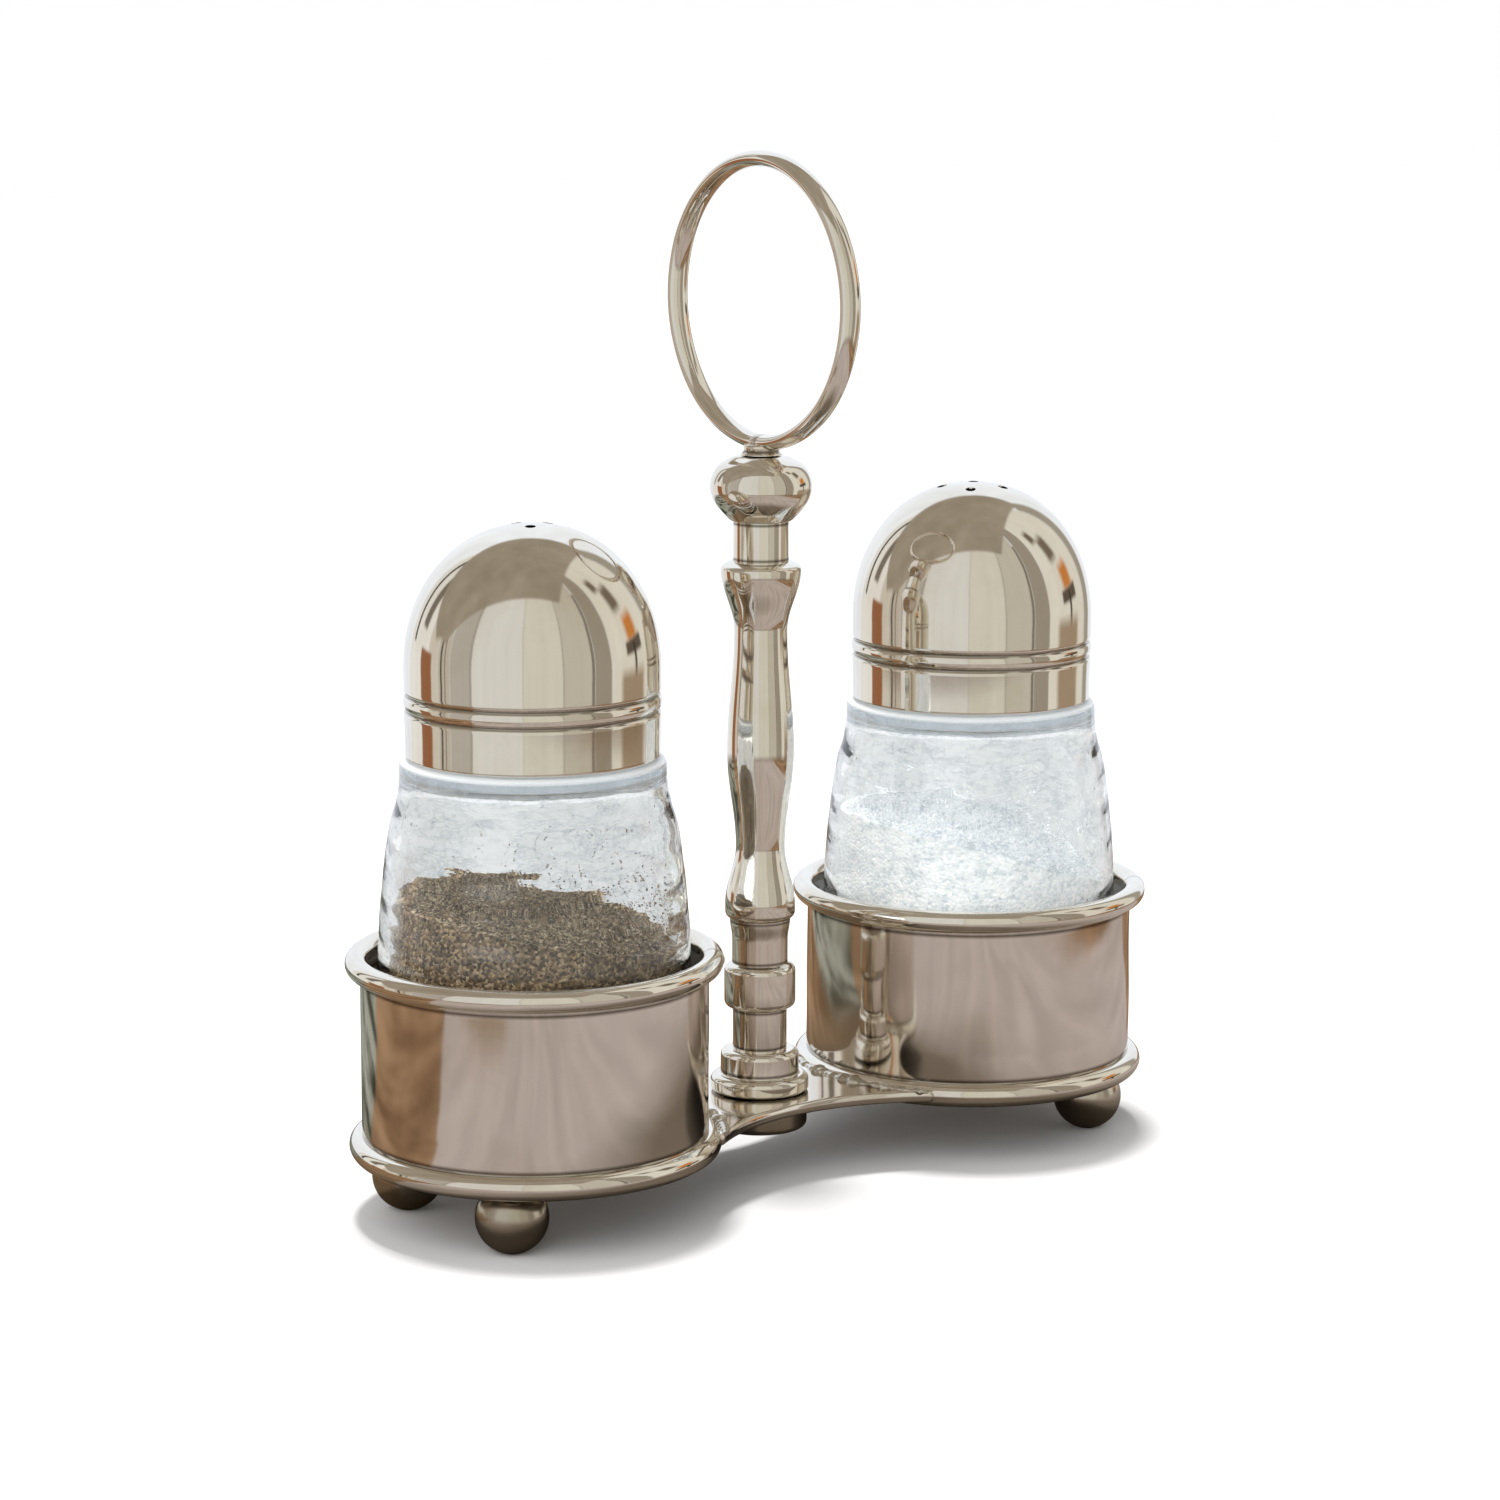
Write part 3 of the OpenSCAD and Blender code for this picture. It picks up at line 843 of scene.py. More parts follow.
@dataclass
class Cup:
    """A spun cup with a wire round its lip, a wire under it and two ball feet."""

    side: Side
    wall: float = 0.8
    rim_wire: float = 4.0
    base_wire: float = 4.3
    floor_edge: float = 0.5
    foot_ball: float = 6.5
    foot_stem: float = 3.0
    seam_angle: float = -37.0
    seam_turn: float = 1.3
    slack: float = 0.05
    skin_sunk: float = 0.2
    skin_proud: float = 0.07
    skin_ends: tuple[float, float] = (1.6, 0.6)

    def build(self, bench: Bench) -> None:
        """Builds every piece of the cup.

        Args:
            bench: where the finished pieces go.
        """
        self.word = self.side.word
        self.room = Room.of(f"{self.word}_cup")
        self.x = float(self.room.centre[0])
        self.build_wall(bench)
        self.build_inside(bench)
        self.build_wires(bench)
        self.build_seam(bench)
        for end in ("front", "back"):
            self.build_foot(bench, end)

    def build_wall(self, bench: Bench) -> None:
        """The sheet: down inside, up outside, with slow waves left by planishing.

        Args:
            bench: where the finished pieces go.
        """
        r, low, top = self.room.radius, self.room.low[2], self.room.high[2]
        edge, wall = self.floor_edge, self.wall
        rows, rings = 60, 20
        rise = np.linspace(low + edge, top, rows)
        inner = r - wall
        outside = np.stack([np.full(rows, r), rise], axis=1)
        inside = np.stack([np.full(rows, inner), np.linspace(top, low + wall + edge, rows)], axis=1)
        floor = np.stack([np.linspace(inner - edge, 0, rings), np.full(rings, low + wall)], axis=1)
        profile = np.vstack([
            [[0, low]], arc((r - edge, low + edge), edge, -90, 0, 6)[:-1], outside, inside,
            arc((inner - edge, low + wall + edge), edge, 0, -90, 6)[1:], floor[1:],
        ])
        dents = waves(11 + self.side.value, 14, (2, 9), (18, 60), 0.045)
        ripples = waves(31 + self.side.value, 10, (10, 24), (30, 90), 0.006)

        def swell(t: Array, z: Array) -> Array:
            """Dents and ripples, dying out at the lip and at the floor."""
            hold = np.clip((z - low) / 6, 0, 1) * np.clip((top - z) / 3, 0, 1)
            return (dents(t, z) + ripples(t, z)) * hold - self.slack * hold

        shape = turned(profile, self.x, 256, swell=swell)
        bench.add(f"{self.word}_cup_sheet", shape, SPUN, "caddy", "polished_nickel", [f"{self.word}_cup"])

    def build_inside(self, bench: Bench) -> None:
        """The brushed face inside the cup: a thin skin on the sheet.

        Args:
            bench: where the finished pieces go.
        """
        low, high = self.room.low[2] + self.skin_ends[0], self.room.high[2] - self.skin_ends[1]
        r = self.room.radius - self.wall
        back, face = r + self.skin_sunk, r - self.skin_proud
        profile = np.array([[back, low], [back, high], [face, high], [face, low]])
        shape = turned(profile, self.x, 192, True)
        bench.add(f"{self.word}_cup_inside", shape, BRUSHED, "caddy", "polished_nickel")

    def build_wires(self, bench: Bench) -> None:
        """The round wires at the lip and under the cup.

        Args:
            bench: where the finished pieces go.
        """
        for node, thickness in (("cup_rim", self.rim_wire), ("base_ring", self.base_wire)):
            room = Room.of(f"{self.word}_{node}")
            radius = room.radius - thickness / 2
            height = float(room.low[2] + thickness / 2)
            profile = wire(radius, thickness / 2, thickness / 2, height)
            seed = 50 + self.side.value + int(thickness * 10)
            kinks = waves(seed, 8, (3, 11), (200, 400), 0.02)
            shape = turned(profile, self.x, 256, True, lambda t, z: kinks(t, z) - self.slack)
            name = f"{self.word}_{node}_wire"
            bench.add(name, shape, POLISHED, "caddy", "polished_nickel", [f"{self.word}_{node}"])

    def build_seam(self, bench: Bench) -> None:
        """The brazed joint in the lip wire: a short sleeve a hair thicker than the wire.

        Args:
            bench: where the finished pieces go.
        """
        room = Room.of(f"{self.word}_cup_rim")
        radius = room.radius - self.rim_wire / 2
        half, count = np.radians(self.seam_turn), 15
        t = np.radians(self.seam_angle) + np.linspace(-half, half, count)
        path = np.stack([self.x + radius * np.cos(t), radius * np.sin(t), 0 * t + room.centre[2]], axis=1)
        outward = np.stack([np.cos(t), np.sin(t), 0 * t], axis=1)
        up = np.tile([0.0, 0.0, 1.0], (count, 1))
        swollen = np.cos(np.linspace(-np.pi / 2, np.pi / 2, count)) ** 0.5
        thick = self.rim_wire / 2 - 0.03 + 0.1 * swollen
        shape = tube(path, up, outward, thick, thick, 28)
        bench.add(f"{self.word}_rim_seam", shape, SOLDER, "caddy", "polished_nickel")

    def build_foot(self, bench: Bench, end: str) -> None:
        """A ball, flat where it stands, on a stem that runs up into the cup's floor.

        Args:
            bench: where the finished pieces go.
            end: front or back.
        """
        node = f"{self.word}_{end}_foot"
        room = Room.of(node)
        ball, stem = self.foot_ball, self.foot_stem
        height = ball - 0.2
        start = -math.degrees(math.asin(height / ball))
        stop = math.degrees(math.acos((stem + 0.6) / ball))
        neck_z = height + ball * math.sin(math.radians(stop))
        profile = np.vstack([
            [[0, 0]], arc((0, height), ball, start, stop, 44),
            ease((stem + 0.25, neck_z + 0.15), (stem, neck_z + 1.2), 6),
            [[stem, room.high[2]], [0, room.high[2]]],
        ])
        shape = turned(profile, 0, 96)
        shape.points += np.array([room.centre[0], room.centre[1], 0])
        bench.add(f"{self.word}_{end}_ball_foot", shape, SATIN, "caddy", "satin_nickel", [node])


@dataclass
class Bridge:
    """The plate that joins the cups, its solder beads and the nut below it."""

    cup_x: float = 50.5
    ring_r: float = 32.4
    bead_r: float = 33.9
    waist: float = 13.3
    corner_x: float = 24.0
    corner_y: float = 21.0
    edge: float = 0.55
    bead_angle: float = 37.5
    nut_edge: float = 1.2

    def build(self, bench: Bench) -> None:
        """Builds the plate, the beads and the nut.

        Args:
            bench: where the finished pieces go.
        """
        self.room = Room.of("bridge_plate")
        self.build_plate(bench)
        for side in Side:
            self.build_bead(bench, side)
        self.build_nut(bench)

    def build_plate(self, bench: Bench) -> None:
        """A flat bar whose half width is waist + R - sqrt(R^2 - x^2), with rounded edges.

        The section is a loop in (share of half width, height). Its ends follow the base wires.

        Args:
            bench: where the finished pieces go.
        """
        sagitta = self.corner_y - self.waist
        hollow_r = (self.corner_x**2 + sagitta**2) / (2 * sagitta)
        low, high = float(self.room.low[2]), float(self.room.high[2])
        middle, half = (low + high) / 2, (high - low) / 2
        across = np.linspace(-1, 1, 41)
        corner = np.radians(np.linspace(90, -90, 13))[1:-1]
        share = np.concatenate([across, np.ones(11), across[::-1], -np.ones(11)])
        bulge = np.concatenate([0 * across, np.cos(corner), 0 * across, np.cos(corner)])
        rise = np.concatenate([0 * across + 1, np.sin(corner), 0 * across - 1, -np.sin(corner)])
        end_y = share * self.corner_y
        reach = self.cup_x - np.sqrt(self.ring_r**2 - end_y**2)
        along = np.linspace(-1, 1, 121)[:, None]
        x = along * reach[None, :]
        width = self.waist + hollow_r - np.sqrt(hollow_r**2 - np.minimum(np.abs(x), self.corner_x) ** 2)
        y = share[None, :] * (width - self.edge) + np.sign(share)[None, :] * bulge[None, :] * self.edge
        z = middle + rise[None, :] * half + 0 * x
        grid = np.stack([x, y, z], axis=2)
        centre_start = np.repeat(grid[:1].mean(axis=1, keepdims=True), grid.shape[1], axis=1)
        centre_end = np.repeat(grid[-1:].mean(axis=1, keepdims=True), grid.shape[1], axis=1)
        shape = skin(np.vstack([centre_start, grid, centre_end]))
        shape.faces = [face[::-1] for face in shape.faces]
        bench.add("bridge_bar", shape, SPUN, "caddy", "polished_nickel", ["bridge_plate"])

    def build_bead(self, bench: Bench, side: Side) -> None:
        """A lumpy line of solder where the plate meets the base wire.

        Args:
            bench: where the finished pieces go.
            side: the cup that the bead runs along.
        """
        rng = np.random.default_rng(70 + side.value)
        count = 180
        facing = math.pi if side is Side.SALT else 0.0
        t = facing + np.radians(np.linspace(-self.bead_angle, self.bead_angle, count))
        x = side.value * self.cup_x + self.bead_r * np.cos(t)
        path = np.stack([x, self.bead_r * np.sin(t), 0 * t + self.room.high[2] - 0.1], axis=1)
        outward = np.stack([np.cos(t), np.sin(t), 0 * t], axis=1)
        up = np.tile([0.0, 0.0, 1.0], (count, 1))
        lumps = np.convolve(rng.normal(size=count + 8), np.hanning(9) / 2, "valid")
        taper = np.sin(np.linspace(0.15, math.pi - 0.15, count)) ** 0.4
        thick = (1.15 + 0.42 * np.clip(lumps, -1.8, 2)) * taper
        shape = tube(path, up, outward, thick * 0.72, thick, 16)
        bench.add(f"{side.word}_bridge_solder", shape, SOLDER, "caddy", "polished_nickel")

    def build_nut(self, bench: Bench) -> None:
        """A round nut with an eased lower edge.

        Args:
            bench: where the finished pieces go.
        """
        room = Room.of("base_nut")
        r, low, high, edge = room.radius, room.low[2], room.high[2], self.nut_edge
        profile = np.vstack([
            [[0, low]], arc((r - edge, low + edge), edge, -90, 0, 10), [[r, high], [0, high]],
        ])
        bench.add("round_base_nut", turned(profile, 0, 128), SATIN, "caddy", "satin_nickel", ["base_nut"])


@dataclass
class Post:
    """The turned post: five stacked turnings, named from the plate up."""

    bottom_z: float = 14.8
    base_z: float = 22.8
    column_z: float = 47.5
    baluster_z: float = 113.8
    neck_z: float = 121.4
    knob_z: float = 133.4
    step_z: float = 18.1
    tier_r: tuple[float, float] = (9.1, 7.25)
    column_r: tuple[float, float, float] = (5.0, 5.15, 5.6)
    collar_r: float = 6.6
    collar_z: tuple[float, float] = (30.7, 38.9)
    neck_r: float = 5.1

    def build(self, bench: Bench) -> None:
        """Builds the five turnings and dresses the rod inside them.

        Args:
            bench: where the finished pieces go.
        """
        turnings = {
            "base": self.base_profile(),
            "column": self.column_profile(),
            "baluster": self.baluster_profile(),
            "neck": self.neck_profile(),
            "knob": self.knob_profile(),
        }
        for part, profile in turnings.items():
            shape = turned(profile, 0, 160)
            bench.add(f"post_{part}_turning", shape, TURNED, "caddy", "polished_nickel", [f"post_{part}"])
        bench.dress("tie_rod", DRAWN)

    def base_profile(self) -> Array:
        """Two round tiers with eased edges.

        Returns:
            Rows of (r, z).
        """
        foot, edge, neck = 0.9, 1.25, 0.3
        lower, upper = self.tier_r
        return np.vstack([
            [[0, self.bottom_z]], arc((lower - foot, self.bottom_z + foot), foot, -90, 0, 10),
            arc((lower - edge, self.step_z - edge), edge, 0, 88, 14),
            arc((upper + neck, self.step_z + neck), neck, 268, 180, 6),
            arc((upper - edge, self.base_z - edge), edge, 0, 90, 14), [[0, self.base_z]],
        ])

    def column_profile(self) -> Array:
        """A plain shank with a wide collar, flaring at its top.

        Returns:
            Rows of (r, z).
        """
        edge = 1.3
        lower, upper, flare = self.column_r
        foot, top = self.collar_z
        return np.vstack([
            [[0, self.base_z], [lower, self.base_z]], [[lower, foot - 0.2]],
            arc((self.collar_r - edge, foot + edge), edge, -80, 0, 10),
            arc((self.collar_r - edge, top - edge), edge, 0, 80, 10),
            [[upper, top + 0.2]], ease((upper, self.column_z - 4), (flare, self.column_z), 16),
            [[flare, self.column_z], [0, self.column_z]],
        ])

    def baluster_profile(self) -> Array:
        """A bulge, a waist, a belly and an upper waist below a flange, joined by half cosines.

        Returns:
            Rows of (r, z).
        """
        bulge, waist, belly = (6.46, 50.2), (4.5, 61.1), (6.17, 79.0)
        upper_waist, flange = (4.9, 101.2), (7.4, 112.4)
        return np.vstack([
            [[0, self.column_z], [5.5, self.column_z]],
            arc((bulge[0] - 1.25, self.column_z + 1.3), 1.25, -62, -8, 10),
            ease(bulge, waist), ease(waist, belly), ease(belly, upper_waist), ease(upper_waist, flange),
            arc((flange[0] - 1, flange[1]), 1, 0, 75, 14),
            [[5.9, self.baluster_z], [0, self.baluster_z]],
        ])

    def neck_profile(self) -> Array:
        """A straight drum."""
        low, high, r = self.baluster_z, self.neck_z, self.neck_r
        return np.array([[0, low], [r, low], [r, high], [0, high]])

    def knob_profile(self) -> Array:
        """A flattened ball on a short foot.

        Returns:
            Rows of (r, z).
        """
        ball = spline([
            (5.9, 121.6), (7.6, 123.4), (8.8, 125.2), (9.35, 127.3), (9.0, 129.5), (7.8, 131.4),
            (5.6, 132.7), (4.0, 133.15), (0.0, self.knob_z),
        ])
        return np.vstack([[[0, self.neck_z], [5.6, self.neck_z]], ball])


@dataclass
class Handle:
    """The ring handle in its collar."""

    axial: float = 4.3
    radial: float = 2.9
    collar_edge: float = 0.6
    seam_turn: float = 2.6

    def build(self, bench: Bench) -> None:
        """Builds the ring, its brazed joint and the collar.

        Args:
            bench: where the finished pieces go.
        """
        self.room = Room.of("handle_ring")
        self.build_ring(bench)
        self.build_seam(bench)
        self.build_collar(bench)

    def build_ring(self, bench: Bench) -> None:
        """An oval section carried round a circle in the YZ plane.

        Args:
            bench: where the finished pieces go.
        """
        outer = float(self.room.high[2] - self.room.low[2]) / 2
        line = outer - self.radial / 2
        centre = self.room.centre
        t = np.linspace(0, TAU, 288, endpoint=False)[None, :]
        a = np.linspace(0, TAU, 32, endpoint=False)[:, None]
        uneven = waves(91, 8, (2, 9), (200, 400), 0.03)
        r = line + self.radial / 2 * np.cos(a) - 0.05 + uneven(t, 0 * t)
        x = centre[0] + self.axial / 2 * np.sin(a) + 0 * t
        grid = np.stack([x, centre[1] + r * np.cos(t), centre[2] + r * np.sin(t)], axis=2)
        shape = skin(grid, wrap_rows=True)
        bench.add("ring_handle", shape, POLISHED, "caddy", "polished_nickel", ["handle_ring"])

    def build_seam(self, bench: Bench) -> None:
        """The joint at the foot of the ring, a lumpy sleeve of solder above the collar.

        Args:
            bench: where the finished pieces go.
        """
        line = float(self.room.high[2] - self.room.low[2]) / 2 - self.radial / 2
        count, proud = 31, 0.2
        t = np.radians(-90) + np.radians(np.linspace(-self.seam_turn, self.seam_turn, count))
        centre = self.room.centre
        path = np.stack([0 * t, centre[1] + line * np.cos(t), centre[2] + line * np.sin(t)], axis=1)
        outward = np.stack([0 * t, np.cos(t), np.sin(t)], axis=1)
        along_x = np.tile([1.0, 0.0, 0.0], (count, 1))
        lump = np.cos(np.linspace(-np.pi / 2, np.pi / 2, count)) ** 0.5
        thick = self.radial / 2 - 0.1 + proud * lump
        wide = self.axial / 2 - 0.1 + proud * lump
        shape = tube(path, outward, along_x, thick, wide, 24)
        bench.add("ring_seam", shape, SOLDER, "caddy", "polished_nickel")

    def build_collar(self, bench: Bench) -> None:
        """A small spool with a flared foot and a rounded top.

        Args:
            bench: where the finished pieces go.
        """
        room = Room.of("ring_collar")
        foot, low, high, edge = room.radius, room.low[2], room.high[2], self.collar_edge
        waist = foot - 0.6
        profile = np.vstack([
            [[0, low]], ease((foot, low), (waist, low + 0.8), 10),
            arc((foot - 0.5 - edge, high - edge), edge, -20, 90, 14), [[0, high]],
        ])
        bench.add("collar_spool", turned(profile, 0, 96), TURNED, "caddy", "polished_nickel", ["ring_collar"])


# ---------------------------------------------------------------- the shakers


@dataclass
class Vessel:
    """A blown glass body with a threaded neck."""

    side: Side
    wall: float = 2.4
    base: float = 4.5
    outer_corner: float = 9.0
    inner_corner: float = 7.5
    neck_r: float = 19.4
    mouth_r: float = 16.6
    shoulder_z: float = 83.4
    ridge_z: float = 86.0
    ridge_depth: float = 0.7
    lead: float = 4.25
    ridge_turns: float = 1.2
    lip: float = 0.8

    def __post_init__(self) -> None:
        """Takes the glass's room and sets out the waves of both its faces."""
        self.word = self.side.word
        self.room = Room.of(f"{self.word}_glass")
        self.x = float(self.room.centre[0])
        self.r = self.room.radius
        self.low, self.high = float(self.room.low[2]), float(self.room.high[2])
        seed = 200 + 10 * self.side.value
        self.outer_waves = waves(seed, 30, (2, 14), (4.0, 11.0), 0.020)
        self.outer_fine = waves(seed + 1, 20, (3, 16), (1.9, 3.6), 0.008)
        self.inner_waves = waves(seed + 2, 30, (1, 9), (4.5, 12.0), 0.034)
        self.inner_fine = waves(seed + 3, 20, (3, 16), (2.0, 4.0), 0.007)

    def cavity_r(self, z: Array) -> Array:
        """The cavity's radius above its corner, before the waves."""
        line = self.cavity_side()
        return np.interp(z, line[:, 1], line[:, 0])

    def cavity_side(self) -> Array:
        """The cavity's side from the top of its corner to the mouth.

        Returns:
            Rows of (r, z).
        """
        r = self.r - self.wall
        return spline([
            (r, self.low + self.base + self.inner_corner), (r, 42), (r - 0.5, 52), (r - 1.8, 66),
            (r - 3.3, 74), (r - 4.2, 78.5), (r - 5.2, 80.6), (r - 7.4, 81.9), (self.mouth_r, 84),
        ], 22)

    def inner_wave(self, t: Array, z: Array) -> Array:
        """The inner face's waves, dying out at the floor and at the neck."""
        hold = np.clip((z - self.low - self.base) / 5, 0, 1) * np.clip((81 - z) / 4, 0, 1)
        return hold * (self.inner_waves(t, z) + self.inner_fine(t, z))

    def outer_wave(self, t: Array, z: Array) -> Array:
        """The outer face's waves, always inwards, dying out at the base and at the shoulder."""
        hold = np.clip((z - self.low - 2) / 6, 0, 1) * np.clip((82.3 - z) / 3, 0, 1)
        return hold * (self.outer_waves(t, z) + self.outer_fine(t, z) - 0.1)

    def thread(self, t: Array, z: Array) -> Array:
        """The ridge's height on the neck: a rounded crest along z = ridge_z + lead t / turn.

        Args:
            t: angles round the axis, in radians.
            z: heights, in millimetres.

        Returns:
            The height added to the neck's radius.
        """
        total = 0 * z
        for turn in (0, 1):
            a = t + TAU * turn
            middle = self.ridge_z + self.lead * a / TAU
            ends = np.clip(a / 0.35, 0, 1) * np.clip((self.ridge_turns * TAU - a) / 0.35, 0, 1)
            crest = np.clip((0.75 - np.abs(z - middle)) / 0.4, 0, 1)
            total = np.maximum(total, self.ridge_depth * ends * np.sin(crest * np.pi / 2))
        return total

    def outer_profile(self) -> Array:
        """From the middle of the base, up the side and the neck to the lip's crown.

        Returns:
            Rows of (r, z).
        """
        r, corner = self.r, self.outer_corner
        side = spline([
            (r, self.low + corner), (r, 40), (r - 0.35, 51), (r - 0.85, 58), (r - 1.8, 66.6), (r - 2.7, 72),
            (r - 3.7, 75.4), (r - 4.3, 79), (r - 4.5, 82), (r - 4.9, 83.0), (r - 6.0, self.shoulder_z),
        ], 22)
        neck_z = np.arange(self.shoulder_z + 0.6, self.high - self.lip, 0.2)
        return np.vstack([
            np.stack([np.linspace(0, r - corner, 8)[:-1], np.full(7, self.low)], axis=1),
            arc((r - corner, self.low + corner), corner, -90, 0, 24)[:-1], side,
            [[self.neck_r + 0.6, self.shoulder_z]],
            np.stack([np.full(len(neck_z), self.neck_r), neck_z], axis=1),
            arc((self.neck_r - self.lip, self.high - self.lip), self.lip, 0, 90, 8),
        ])

    def inner_profile(self) -> Array:
        """From the lip's crown down inside to the middle of the cavity's floor.

        Returns:
            Rows of (r, z).
        """
        floor, corner = self.low + self.base, self.inner_corner
        side = np.vstack([
            arc((self.r - self.wall - corner, floor + corner), corner, -90, 0, 20)[:-1], self.cavity_side(),
        ])
        lip = arc((self.mouth_r + self.lip, self.high - self.lip), self.lip, 90, 180, 8)
        middle = np.stack([np.linspace(self.r - self.wall - corner, 0, 8)[1:], np.full(7, floor)], axis=1)
        return np.vstack([lip, side[::-1], middle])

    def build(self, bench: Bench) -> None:
        """Builds the glass as one closed shell.

        Args:
            bench: where the finished pieces go.
        """
        outer, inner = self.outer_profile(), self.inner_profile()
        profile = np.vstack([outer, inner])
        inside = np.arange(len(profile))[:, None] >= len(outer)

        def swell(t: Array, z: Array) -> Array:
            """Waves on both faces, and the thread on the outside of the neck.

            Args:
                t: angles round the axis, in radians.
                z: heights, in millimetres.

            Returns:
                The addition to the radius.
            """
            neck = (z > self.shoulder_z + 0.5) & (z < self.high - self.lip + 0.05)
            outside = self.outer_wave(t, z) + np.where(neck, self.thread(t, z), 0)
            return np.where(inside, self.inner_wave(t, z), outside)

        shape = turned(profile, self.x, 192, swell=swell)
        name, body = f"{self.word}_blown_body", f"{self.word}_shaker"
        glass = bench.add(name, shape, GLASS, body, "blown_glass", [f"{self.word}_glass"])
        glass.visible_shadow = False


@dataclass
class Heap:
    """What a shaker is filled with: a heap that leans, loose grains on it and grains on the glass."""

    vessel: Vessel
    finish: Granular
    slot: str
    level: float
    slope: float
    crown: float
    lean: float
    grain: tuple[float, float]
    grain_shape: Shape
    loose: int
    stuck: int
    stuck_height: float
    lumps: float
    gap: float = 0.12
    roughness: float = 0.09
    edge_clear: float = 0.7
    perch: float = 0.35
    cling: float = 0.32
    cling_spread: float = 0.9
    cling_start: float = 0.8
    cling_size: float = 0.24

    def top(self, x: Array, y: Array) -> Array:
        """Height of the heap at x, y from the shaker's axis: level, slope, crown and soft lumps.

        Args:
            x: X from the shaker's axis.
            y: Y from the shaker's axis.

        Returns:
            The heights.
        """
        a = math.radians(self.lean)
        s = x * math.cos(a) + y * math.sin(a)
        c = -x * math.sin(a) + y * math.cos(a)
        rough = sum(
            np.sin(0.55 * k * s + 1.7 * k + 0.4 * np.cos(0.3 * c)) * np.cos(0.47 * k * c + 0.9 * k) / k
            for k in (1, 2, 3, 5)
        )
        return self.level - self.slope * s - self.crown * (s * s + 0.5 * c * c) + self.lumps * rough

    def wall_r(self, t: Array, z: Array) -> Array:
        """The radius of the heap's side, a hair inside the glass.

        Args:
            t: angles round the axis, in radians.
            z: heights, in millimetres.

        Returns:
            The radii.
        """
        v = self.vessel
        floor = v.low + v.base + self.gap
        corner = v.inner_corner
        centre_z = floor - self.gap + corner
        under = np.clip(centre_z - z, 0, corner)
        round_r = v.r - v.wall - corner + np.sqrt(np.maximum(corner**2 - under**2, 0))
        return np.where(z < centre_z, round_r, v.cavity_r(z)) + v.inner_wave(t, z) - self.gap

    def rim(self, t: Array) -> tuple[Array, Array]:
        """Radius and height of the line where the heap's top meets the glass, found by repeating.

        Args:
            t: angles round the axis, in radians.

        Returns:
            The radii and the heights.
        """
        r = 0 * t + self.vessel.r - self.vessel.wall
        for _ in range(8):
            z = self.top(r * np.cos(t), r * np.sin(t))
            r = self.wall_r(t, z)
        return r, z

    def build(self, bench: Bench) -> None:
        """Builds the heap and the grains.

        Args:
            bench: where the finished pieces go.
        """
        word = self.vessel.word
        body = f"{word}_shaker"
        self.build_heap(bench, body)
        self.build_grains(bench, body)

    def build_heap(self, bench: Bench, body: str) -> None:
        """A closed shell: floor, side up to the rim line, then the top in rings to its middle.

        Args:
            bench: where the finished pieces go.
            body: the body that the piece rides on.
        """
        segments, side_rows, top_rows = 256, 90, 70
        t = np.linspace(0, TAU, segments, endpoint=False)[None, :]
        rim_r, rim_z = self.rim(t)
        floor = self.vessel.low + self.vessel.base + self.gap
        rise = (np.linspace(0, 1, side_rows) ** 1.4)[:, None]
        z = floor + (rim_z - floor) * rise
        r = self.wall_r(t + 0 * z, z)
        rng = np.random.default_rng(300 + self.vessel.side.value)
        inward = np.linspace(1, 0, top_rows + 1)[1:, None]
        top_r = rim_r * inward
        top_z = self.top(top_r * np.cos(t), top_r * np.sin(t))
        top_z = top_z + rng.normal(0, self.roughness, top_z.shape) * (inward < 0.99) * (inward > 0)
        start = np.zeros((1, segments, 3)) + [0, 0, floor]
        side = np.stack([r * np.cos(t), r * np.sin(t), z], axis=2)
        crest = np.stack([top_r * np.cos(t), top_r * np.sin(t), top_z], axis=2)
        shape = skin(np.vstack([start, side, crest]))
        shape.points[:, 0] += self.vessel.x
        name = f"{self.vessel.word}_heap"
        bench.add(name, shape, self.finish, body, self.slot, [f"{self.vessel.word}_fill"])

    def build_grains(self, bench: Bench, body: str) -> None:
        """Loose grains over the heap's top, and a few that cling to the glass above it.

        Args:
            bench: where the finished pieces go.
            body: the body that the piece rides on.
        """
        rng = np.random.default_rng(400 + self.vessel.side.value)
        t = rng.uniform(0, TAU, self.loose)
        rim_r, _ = self.rim(t)
        r = (rim_r - self.edge_clear) * np.sqrt(rng.uniform(0, 1, self.loose))
        x, y = r * np.cos(t), r * np.sin(t)
        on_top = np.stack([x, y, self.top(x, y) + rng.uniform(0, self.perch, self.loose)], axis=1)
        t = math.radians(self.lean) + rng.normal(0, self.cling_spread, self.stuck)
        _, rim_z = self.rim(t)
        z = rim_z + self.cling_start + self.stuck_height * rng.uniform(0, 1, self.stuck) ** 1.6
        r = self.vessel.cavity_r(z) + self.vessel.inner_wave(t, z) - self.cling
        on_glass = np.stack([r * np.cos(t), r * np.sin(t), z], axis=1)
        places = np.vstack([on_top, on_glass])
        places[:, 0] += self.vessel.x
        sizes = rng.uniform(*self.grain, (len(places), 3))
        sizes[self.loose:] = np.minimum(sizes[self.loose:], self.cling_size)
        shape = scatter(self.grain_shape, places, sizes, rng)
        bench.add(f"{self.vessel.word}_loose_grains", shape, self.finish, body, self.slot, flat=True)


